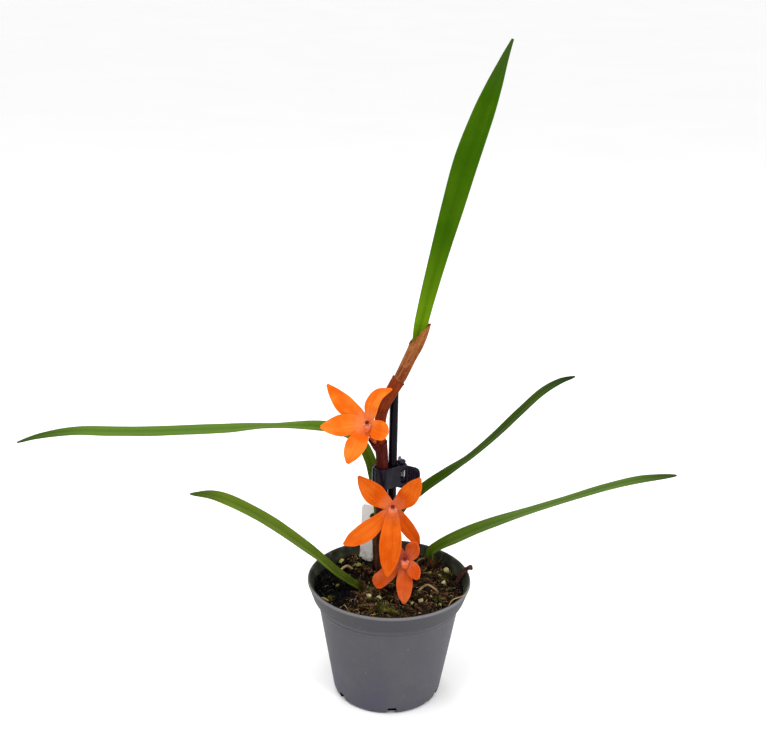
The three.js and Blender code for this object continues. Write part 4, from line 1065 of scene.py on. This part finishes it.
def build_roots(material):
    rng = np.random.RandomState(41)
    form = Form()
    for x, y in free_spots(46, 24, 0.6, 51):
        # No roots where the shadow under the low leaf is painted.
        if rng.rand() < shadow_under_leaf(x, y):
            continue
        heading, bend = rng.uniform(0, 2 * np.pi), rng.uniform(-0.5, 0.5)
        rows, reach = [], rng.uniform(0.9, 1.9)
        for k in range(5):
            if math.hypot(x, y) > 25.4:
                break
            lift = 0.55 * math.sin(math.pi * k / 4) * rng.uniform(0.5, 1.6)
            rows.append((x, y, float(soil_height(x, y)) + 0.15 + lift, 0.13 + 0.06 * rng.rand()))
            heading += bend
            x, y = x + reach * math.cos(heading), y + reach * math.sin(heading)
        if len(rows) > 2:
            form.add(*tube(rows, 6, 14, tip=True))
    for rows in (
        [(9.6, 17.2, 41, 0.5), (12.2, 18.6, 43, 0.42), (15, 18.4, 43.1, 0.36), (17.4, 16.6, 42.2, 0.28)],
        [(-20, 9, 40.5, 0.55), (-16, 11.5, 43, 0.5), (-12.4, 10, 41, 0.42)],
        [(10, -4, 41, 0.45), (14, -1.5, 43, 0.45), (18.6, -3.4, 41, 0.4)],
        [(21, -16.6, 42.4, 0.2), (22.6, -16, 45.3, 0.22), (25.4, -14.8, 46, 0.2), (27.9, -13, 46.1, 0.14)],
        [(18.8, 18.6, 41.4, 0.12), (19.8, 18.3, 43.6, 0.1), (20.5, 17.4, 46.2, 0.05)],
        [(-25, -12, 42, 0.3), (-23, -16, 44.6, 0.45), (-21, -18.6, 45.2, 0.3)],
    ):
        form.add(*tube(rows, 8, 26, tip=True))
    form.piece("loose_roots", [material], "soil_mix")


def build_rim_root(material):
    """The dark shrivelled root that climbs over the rim and ends in a curl."""
    climb = [(24.6, 3.6, 40.5, 1), (26.8, 4.2, 44, 0.9), (28.6, 4.8, 46.5, 0.8), (30.2, 5.6, 46.8, 0.75),
             (30.9, 5.4, 46, 0.6)]
    curl = [(28.4, 4.6, 46.2, 0.5), (29.2, 4.4, 47.4, 0.6), (30.2, 5, 47.7, 0.55), (30.8, 5.6, 47, 0.45)]
    form = Form()
    form.add(*tube(climb, 14, 50, rough=0.3, seed=3, tip=True))
    form.add(*tube(curl, 12, 30, rough=0.3, seed=7, tip=True))
    form.piece("rim_root", [material], "soil_mix")


# Growths
def build_leaf(name, base, far, pale, tip, wave, seed):
    rows = LEAVES[name]
    length = sum(math.dist(a[:3], b[:3]) for a, b in zip(rows, rows[1:]))
    materials = [leaf_material(name + "_top", base, far, pale, tip, length),
                 leaf_material(name + "_under", base, far, pale, tip, length, under=True)]
    points, top, under, places = blade(rows, LEAF_THICK, steps=150, columns=22, rim=0.3, groove=0.16,
                                       wave=wave, seed=seed)
    form = Form()
    form.add(points, top, places)
    # The underside's faces use the same points, so they follow without new ones.
    form.faces += under
    form.paint += [1] * len(under)
    form.piece(name + "_blade", materials, "leaf_green", stands_for=(name,))


def build_growth_sheath(name, material, seed):
    rows = GROWTH_SHEATHS[name]
    form = Form()
    form.add(*papery_sheath(rows, 0.06, 2.4, steps=50, seed=seed))
    inner = [(x, y, z, r - 0.5) for x, y, z, r in rows]
    form.add(*papery_sheath([*inner[:-1], (*rows[-1][:3], rows[-1][3] - 0.45)], 0.08, 5.2, steps=50,
                            seed=seed + 9))
    add_fibres(form, rows[-1], 10, seed)
    form.piece(name + "_paper", [material], "sheath_paper", stands_for=(name,))


def add_fibres(form, row, count, seed, length=1.4):
    """Stiff broken fibres that stand off a sheath's mouth."""
    rng = np.random.RandomState(seed)
    x, y, z, r = row
    for _ in range(count):
        a = rng.uniform(0, 2 * np.pi)
        out = np.array([math.cos(a), math.sin(a), rng.uniform(0.2, 1.6)])
        foot = np.array([x, y, z - 0.9]) + np.array([out[0], out[1], 0]) * (r - 0.25)
        tip = foot + unit(out) * rng.uniform(0.5, 1) * length
        middle = (foot + tip) / 2 + rng.uniform(-0.12, 0.12, 3)
        form.add(*tube([(*foot, 0.09), (*middle, 0.06), (*tip, 0.03)], 5, 6))


def build_stem(papers, inner):
    form = Form()
    form.add(*tube(STEM_CORE, 28, 120), paint=len(papers))
    for i, part in enumerate(STEM_SHEATHS):
        form.add(*papery_sheath(part["rows"], part["slant"], part["high"], steps=90, seed=60 + i),
                 paint=i)
        add_fibres(form, part["rows"][-1], 9, 70 + i, 1.1)
    for i, rows in enumerate(BRACTS):
        form.add(*papery_sheath(rows, 0.14, 2.2, sides=48, steps=40, ragged=0.05, seed=80 + i), paint=1)
        add_fibres(form, rows[-1], 12, 90 + i, 1.8)
    form.piece("stem_sheaths", [*papers, inner], "sheath_paper", stands_for=("stem_main",))


def build_bloom(name, shared, tepal):
    bloom = BLOOMS[name]
    hub, faces = bloom["hub"], bloom["faces"]
    form = Form()
    form.add(*tube(bloom["stalk"], 18, 40, rough=0.06, seed=1), paint=1)
    core = ball(3)
    form.add(core[0] * 1.35 + hub, core[1], paint=0)
    for i, points in enumerate(bloom["tepals"]):
        rows = [(*hub, *faces, 2.6, 0.1)] + [(x, y, z, *faces, width, 0.16) for x, y, z, width in points]
        skin, top, under, places = blade(rows, TEPAL_THICK, steps=56, columns=18, rim=0.3, groove=0.1,
                                         wave=0.35, seed=i + 5)
        form.add(skin, top + under, places)
    form.piece(f"bloom_{name}_tepals", [tepal, shared["stalk"]], "tepal_orange",
               stands_for=(f"bloom_{name}",))
    out = np.array(unit(np.array(bloom["tongue"], float)))
    down = unit(np.array([0, 0, -1]) + out * out[2])
    flank = np.cross(out, down)

    def at(forward, below, beside=0.0):
        return tuple(np.array(hub) + out * forward + down * below + flank * beside)

    form = Form()
    column = [(*at(1.2, 0), 0.8), (*at(2.5, -0.1), 0.86), (*at(3.4, 0), 0.84), (*at(3.8, 0.1), 0.7)]
    form.add(*tube(column, 20, 24, tip=True), paint=2)
    cap = ball(3)
    form.add(cap[0] * (0.74, 0.62, 0.72) + at(3.55, -0.12), cap[1], paint=1)
    tongue = [(*at(2.7, 0.2), *out, 1.4, 0.3), (*at(3.1, 1.2), *out, 2.6, 0.5),
              (*at(3.7, 2.5), *out, 2.2, 0.4), (*at(4.4, 3.3), *out, 0.9, 0.2)]
    skin, top, under, places = blade(tongue, LIP_THICK, steps=30, columns=14, rim=0.5, wave=0.1, seed=3)
    form.add(skin, top + under, places)
    for way in (-1, 1):
        lobe = [(*at(2.5, 0.5, 0.7 * way), 0.4), (*at(3.2, 0.9, 1.05 * way), 0.45),
                (*at(3.9, 1.1, 0.95 * way), 0.3)]
        form.add(*tube(lobe, 12, 16, tip=True))
    form.piece(f"lip_{name}_flesh", [shared["lip"], shared["spot"], tepal], "lip_pink",
               stands_for=(f"lip_{name}",))


# Stake, clip and label
def build_stake(material):
    """The rod, with its two moulding seams."""
    r = STAKE_RADIUS
    profile = [(0, STAKE_LOW), (r * 0.4, STAKE_LOW), (r, STAKE_LOW + 5), (r, STAKE_TOP - 1.2),
               (r * 0.6, STAKE_TOP - 0.2), (0, STAKE_TOP)]
    points, faces = lathe(rounded(profile, 0.5), 56)
    angle = np.arctan2(points[:, 1], points[:, 0])
    front, back = (np.exp(-((np.abs(angle) - at) / 0.06) ** 2) for at in (0.02, np.pi))
    seam = 1 + 0.05 * (front + back)
    points = points * np.stack([seam, seam, np.ones(len(points))], 1)
    form = Form()
    form.add(points + (*STAKE_AT, 0), faces)
    form.piece("stake_rod", [material], "black_plastic", stands_for=("stake",), crease=50)


def clip_line():
    """The middle of one half's wall: finger pad, past spring and stake, round the stem."""
    bulge = HINGE_TO_STAKE + STEM_TO_STAKE
    radius = JAW_BORE + CLIP_WALL / 2
    away = (-math.cos(PAD_SPLAY), math.sin(PAD_SPLAY))
    line = [
        (PAD_LENGTH * away[0], JAW_REACH + PAD_LENGTH * away[1]),
        (PAD_LENGTH * 0.45 * away[0] - 0.3, JAW_REACH + PAD_LENGTH * 0.45 * away[1]),
        (-0.4, JAW_REACH + 0.15),
        (0.8, JAW_REACH),
        (HINGE_TO_STAKE + 1.1, JAW_REACH),
    ]
    for degrees in (118, 92, 66, 42, 22):
        angle = math.radians(degrees)
        line.append((bulge + radius * math.cos(angle), radius * math.sin(angle)))
    line.append((bulge + radius, GAP / 2 + 0.1))
    return line


def to_clip(points, mirror=False):
    """From the clip's own plane to the plant's frame."""
    points = np.array(points, float)
    if mirror:
        points = points * (1, -1, 1)
    turn = np.array(Matrix.Rotation(CLIP_TURN + math.pi, 3, "Z"))
    hinge = (STAKE_AT[0] + HINGE_TO_STAKE * math.cos(CLIP_TURN),
             STAKE_AT[1] + HINGE_TO_STAKE * math.sin(CLIP_TURN), 0)
    return points @ turn.T + hinge


def add_to_clip(form, points, faces, mirror=False):
    """Adds a shape that is drawn in the clip's own plane."""
    form.add(to_clip(points, mirror), [face[::-1] for face in faces] if mirror else faces)


def clip_wall():
    """The bent wall of one half, with rounded pad corners, soft edges and grip ridges on the pad."""
    steps, layers = 110, 14
    rows = [(u, w, 0) for u, w in clip_line()]
    t = np.linspace(0, 1, steps + 1)
    centre, along = spline(rows, t)
    across = np.stack([-along[:, 1], along[:, 0], np.zeros(len(along))], 1)
    length = run_of(centre)
    corner = 2.0
    gone = np.clip(corner - length, 0, corner)
    trim = corner - np.sqrt(np.maximum(corner**2 - gone**2, 0))
    h = np.sin(np.linspace(-np.pi / 2, np.pi / 2, layers + 1))
    height = (CLIP_HEIGHT / 2 - trim)[:, None] * h[None]
    soft = np.sqrt(np.maximum(1 - (np.maximum(np.abs(h) - 0.88, 0) / 0.12) ** 2 * 0.8, 0))
    ends = np.minimum(np.clip(length / 0.4, 0.45, 1), np.clip((length[-1] - length) / 0.4, 0.45, 1))
    half = CLIP_WALL / 2 * ends[:, None] * soft[None]
    grip = np.where((length > 0.9) & (length < 4.6), 0.14 * np.sin((length - 0.9) * 2 * np.pi / 0.92), 0)
    skins = []
    for way in (1, -1):
        stand = way * half + (np.maximum(grip, 0)[:, None] * soft[None] if way > 0 else 0)
        layer = centre[:, None] + across[:, None] * stand[..., None]
        layer = layer + np.stack([np.zeros_like(height), np.zeros_like(height), height], -1)
        skins.append(layer.reshape(-1, 3))
    upper, lower = sheet_faces(steps + 1, layers + 1)
    return np.concatenate(skins) + (0, 0, CLIP_MIDDLE), upper + lower


def build_clip_half(front, material):
    """One half: wall, two knuckles round the pin, and the window that shows the spring."""
    form, mirror = Form(), not front
    add_to_clip(form, *clip_wall(), mirror)
    r, notch = KNUCKLE_RADIUS, 0.9
    arc = [(r * math.cos(a), r * math.sin(a)) for a in np.linspace(math.pi, 2 * math.pi, 22)]
    arm = arc + [(r, JAW_REACH), (notch - r, JAW_REACH), (-r, JAW_REACH - notch)]
    inset = 0 if front else KNUCKLE_THICK + GAP
    for low in (CLIP_LOW + inset, CLIP_LOW + CLIP_HEIGHT - inset - KNUCKLE_THICK):
        add_to_clip(form, *prism(arm, low, low + KNUCKLE_THICK), mirror)
    name = "clip_front" if front else "clip_back"
    body = PLANT if front else JAW
    half = form.piece(name + "_half", [material], "black_plastic", body=body, stands_for=(name,), crease=40)
    wide, tall = WINDOW_WIDTH / 2, CLIP_HEIGHT / 2 - inset - KNUCKLE_THICK - 0.1
    ring = []
    for a in np.linspace(0, 2 * np.pi, 32, endpoint=False):
        u, z = (np.sign(v) * abs(v) ** 0.45 for v in (math.cos(a), math.sin(a)))
        ring.append((WINDOW_SHIFT + wide * u, JAW_REACH - 1, CLIP_MIDDLE + tall * z))
    window = Form()
    add_to_clip(window, *bar(ring, (0, 4, 0)), mirror)
    carve(half, window)


def build_clip_middle(black, steel):
    """The pin, and the spring with one leg on each half."""
    neck, head = CLIP_HEIGHT / 2 + GAP, KNUCKLE_RADIUS
    top = neck + PIN_HEAD_THICK
    upper = [(PIN_RADIUS, neck), (head, neck), (head, top - 0.55), (head * 0.72, top - 0.1),
             (0.5, top), (0, top)]
    profile = [(r, CLIP_MIDDLE - z) for r, z in upper[::-1]] + [(r, CLIP_MIDDLE + z) for r, z in upper]
    form = Form()
    add_to_clip(form, *lathe(rounded(profile, 0.3), 48))
    form.piece("clip_pin_rod", [black], "black_plastic", stands_for=("clip_pin",), crease=40)
    wire, coil = 0.22, 1.13
    low = CLIP_LOW + 2 * (KNUCKLE_THICK + GAP) + wire
    high = CLIP_LOW + CLIP_HEIGHT - 2 * (KNUCKLE_THICK + GAP) - wire
    turns, marks = 4.25, 120
    rows = [(-2.75, 4.05, low, wire), (-1.3, 2.2, low, wire)]
    for i in range(marks + 1):
        a = 2 * math.pi * turns * i / marks + math.pi / 2
        rows.append((coil * math.cos(a), coil * math.sin(a), low + (high - low) * i / marks, wire))
    form = Form()
    add_to_clip(form, *tube(rows, 12, 700)[:2])
    form.piece("clip_spring_wire", [steel], "spring_steel", stands_for=("clip_spring",))
    form = Form()
    leg = [(0.1, -coil, high, wire), (-1.1, -1.9, high, wire), (-2.75, -4.05, high, wire)]
    add_to_clip(form, *tube(leg, 12, 24)[:2])
    form.piece("clip_spring_leg", [steel], "spring_steel", body=JAW)


def build_label(material):
    """A thin tag with a pointed foot, bowed a little across its width."""
    columns, rows = 14, 60
    u = np.linspace(-1, 1, columns + 1)
    z = np.linspace(0, LABEL_LENGTH, rows + 1)
    wide, shoulder = LABEL_WIDTH / 2, LABEL_LENGTH - 1
    half = np.minimum(wide, 0.25 + z * (wide - 0.25) / 6)
    half = np.where(z > shoulder, wide - (z - shoulder) * 0.9, half)
    x = half[:, None] * u[None]
    bow = 0.12 * (1 - u[None] ** 2) * np.ones((rows + 1, 1))
    skins = []
    for way in (1, -1):
        y = way * 0.24 + bow * 0.8
        skins.append(np.stack([x, y * np.ones_like(x), z[:, None] * np.ones_like(x)], -1).reshape(-1, 3))
    upper, lower = sheet_faces(rows + 1, columns + 1)
    faces = [face[::-1] for face in upper + lower]
    turn = Matrix.Rotation(-0.45, 3, "Z") @ Matrix.Rotation(-0.06, 3, "X")
    form = Form()
    form.add(np.concatenate(skins) @ np.array(turn).T + (-8.5, 18.6, 34.5), faces)
    form.piece("label_tag", [material], "label_plastic", stands_for=("label",), crease=40)


def build_floor():
    """A pale floor, flat round the pot, that rises gently until it hides the horizon. In metres."""
    reach = [0.01, 0.5, 1.2, 1.8, 2.5, 3.2, 4, 5, 6, 7, 8]
    points, faces = lathe([(r, 0.02 * max(r - 1.2, 0) ** 2) for r in reach], 64)
    mesh = bpy.data.meshes.new("floor")
    mesh.from_pydata(points.tolist(), [], faces[:-1])
    mesh.polygons.foreach_set("use_smooth", [True] * len(mesh.polygons))
    mesh.materials.append(floor_material())
    floor = bpy.data.objects.new("floor", mesh)
    bpy.context.scene.collection.objects.link(floor)


def build_world():
    world = bpy.data.worlds.new("studio")
    world.use_nodes = True
    sky = world.node_tree.nodes["Background"]
    sky.inputs[0].default_value = (1, 1, 1, 1)
    sky.inputs[1].default_value = 1.0
    bpy.context.scene.world = world
    # Name, place, aim and width in metres, and power
    add_light("key", (-0.25, -0.35, 1.1), (0, 0, 0.09), 0.5, 5.0)
    add_light("right", (0.9, -0.35, 0.45), (0, 0, 0.06), 0.4, 2.2)
    add_light("glint", (0.35, -0.55, 0.75), (0, 0, 0.09), 0.1, 1.2)
    add_light("back", (-0.3, 0.8, 0.7), (0, 0, 0.1), 0.4, 2.0)
    bpy.context.scene.view_settings.view_transform = "Standard"


def build_plant():
    rod = black_material("black_rod", (4, 2, 8), (9, 5, 16), 0.08)
    black = black_material("black_clip", (12, 9, 20), (26, 20, 38), 0.14)
    bark = earth_material("bark", [(0.3, (9, 4, 4)), (0.5, (38, 21, 14)), (0.66, (106, 68, 44))], 0.4)
    peat = earth_material("peat", [(0.3, (3, 2, 4)), (0.55, (9, 7, 8)), (0.75, (36, 26, 17))], 0.6)
    pellet = earth_material(
        "pellet", [(0.32, (88, 92, 30)), (0.5, (146, 146, 70)), (0.64, (204, 192, 152))], 0.13, 0.6, 0.2, 0.1)
    moss = earth_material("moss", [(0.3, (15, 12, 5)), (0.5, (50, 40, 14)), (0.66, (120, 96, 46))], 0.4, 0.8)
    fresh = earth_material("moss_fresh", [(0.3, (28, 28, 8)), (0.5, (66, 66, 20)), (0.68, (134, 124, 52))],
                           0.4, 0.8)
    root = earth_material("root", [(0.3, (84, 62, 36)), (0.7, (176, 146, 104))], 0.25, 0.7, 0.3)
    dead = earth_material("dead_root", [(0.3, (18, 8, 9)), (0.7, (74, 42, 36))], 0.7, 0.7, 0.5)
    # Near-black painted shade for the hollows of the water notches and the underside of the foot.
    hollow = earth_material("notch_painted_shade", [(0.3, (8, 9, 14)), (0.7, (20, 22, 30))], 0.4)
    build_pot(pot_material(), pot_inside_material(), hollow)
    soil_bed(peat)
    build_crumbs(peat, bark)
    build_chips(bark)
    build_pellets(pellet)
    build_moss(moss, fresh)
    build_litter(root, bark)
    build_roots(root)
    build_rim_root(dead)
    tones = {
        "leaf_tall": ((94, 128, 12), (44, 80, 2), (66, 98, 8), (52, 72, 30), 0.05),
        "leaf_left_high": ((64, 78, 2), (76, 106, 25), (90, 116, 34), (36, 56, 8), 0.08),
        # Its near-black base colour is painted shadow where the leaf enters the soil.
        "leaf_left_low": ((8, 11, 1), (78, 98, 22), (96, 112, 34), (42, 58, 8), 0.1),
        "leaf_right_high": ((52, 74, 4), (38, 60, 3), (60, 80, 16), (20, 38, 10), 0.08),
        "leaf_right_low": ((62, 80, 6), (72, 98, 30), (92, 114, 48), (34, 50, 14), 0.1),
    }
    for seed, (name, (base, far, pale, tip, wave)) in enumerate(tones.items()):
        build_leaf(name, base, far, pale, tip, wave, seed)
    # Growth sheath paper, darker towards the soil.
    paper = sheath_material("paper_darker_low", (34, 22, 14), (72, 44, 24), 38, 62, (116, 86, 50))
    for seed, name in enumerate(GROWTH_SHEATHS):
        build_growth_sheath(name, paper, 100 + 10 * seed)
    papers = [
        sheath_material("paper_foot", (40, 16, 16), (62, 20, 18), 40, 62, (104, 66, 44)),
        sheath_material("paper_low", (44, 9, 11), (60, 14, 11), 64, 96, (112, 52, 36), 0.25),
        sheath_material("paper_middle", (88, 20, 5), (114, 40, 12), 98, 119, (154, 84, 44), 0.3),
        sheath_material("paper_top", (106, 44, 18), (124, 68, 26), 121, 139, (184, 132, 84), 0.45,
                        (96, 44, 26)),
    ]
    build_stem(papers, sheath_material("stem_inside", (40, 34, 10), (80, 78, 18), 40, 130, (92, 82, 36)))
    shared = {"lip": lip_material(), "spot": spot_material(), "stalk": stalk_material()}
    shades = {
        "top": ((216, 90, 6), (224, 118, 36), (196, 70, 2), (220, 132, 90)),
        "middle": ((188, 72, 4), (204, 94, 20), (164, 54, 1), (200, 114, 80)),
        # The low bloom's darker tones are partly painted shadow, partly its own pinker colour.
        "low": ((184, 68, 14), (202, 98, 50), (162, 50, 6), (190, 102, 88)),
    }
    for name, (full, bright, vein, flush) in shades.items():
        build_bloom(name, shared, tepal_material("tepal_" + name, BLOOMS[name]["hub"], full, bright, vein,
                                                 flush))
    build_stake(rod)
    build_clip_half(True, black)
    build_clip_half(False, black)
    build_clip_middle(black, steel_material())
    build_label(label_material())


add_camera()
build_world()
build_floor()
build_plant()
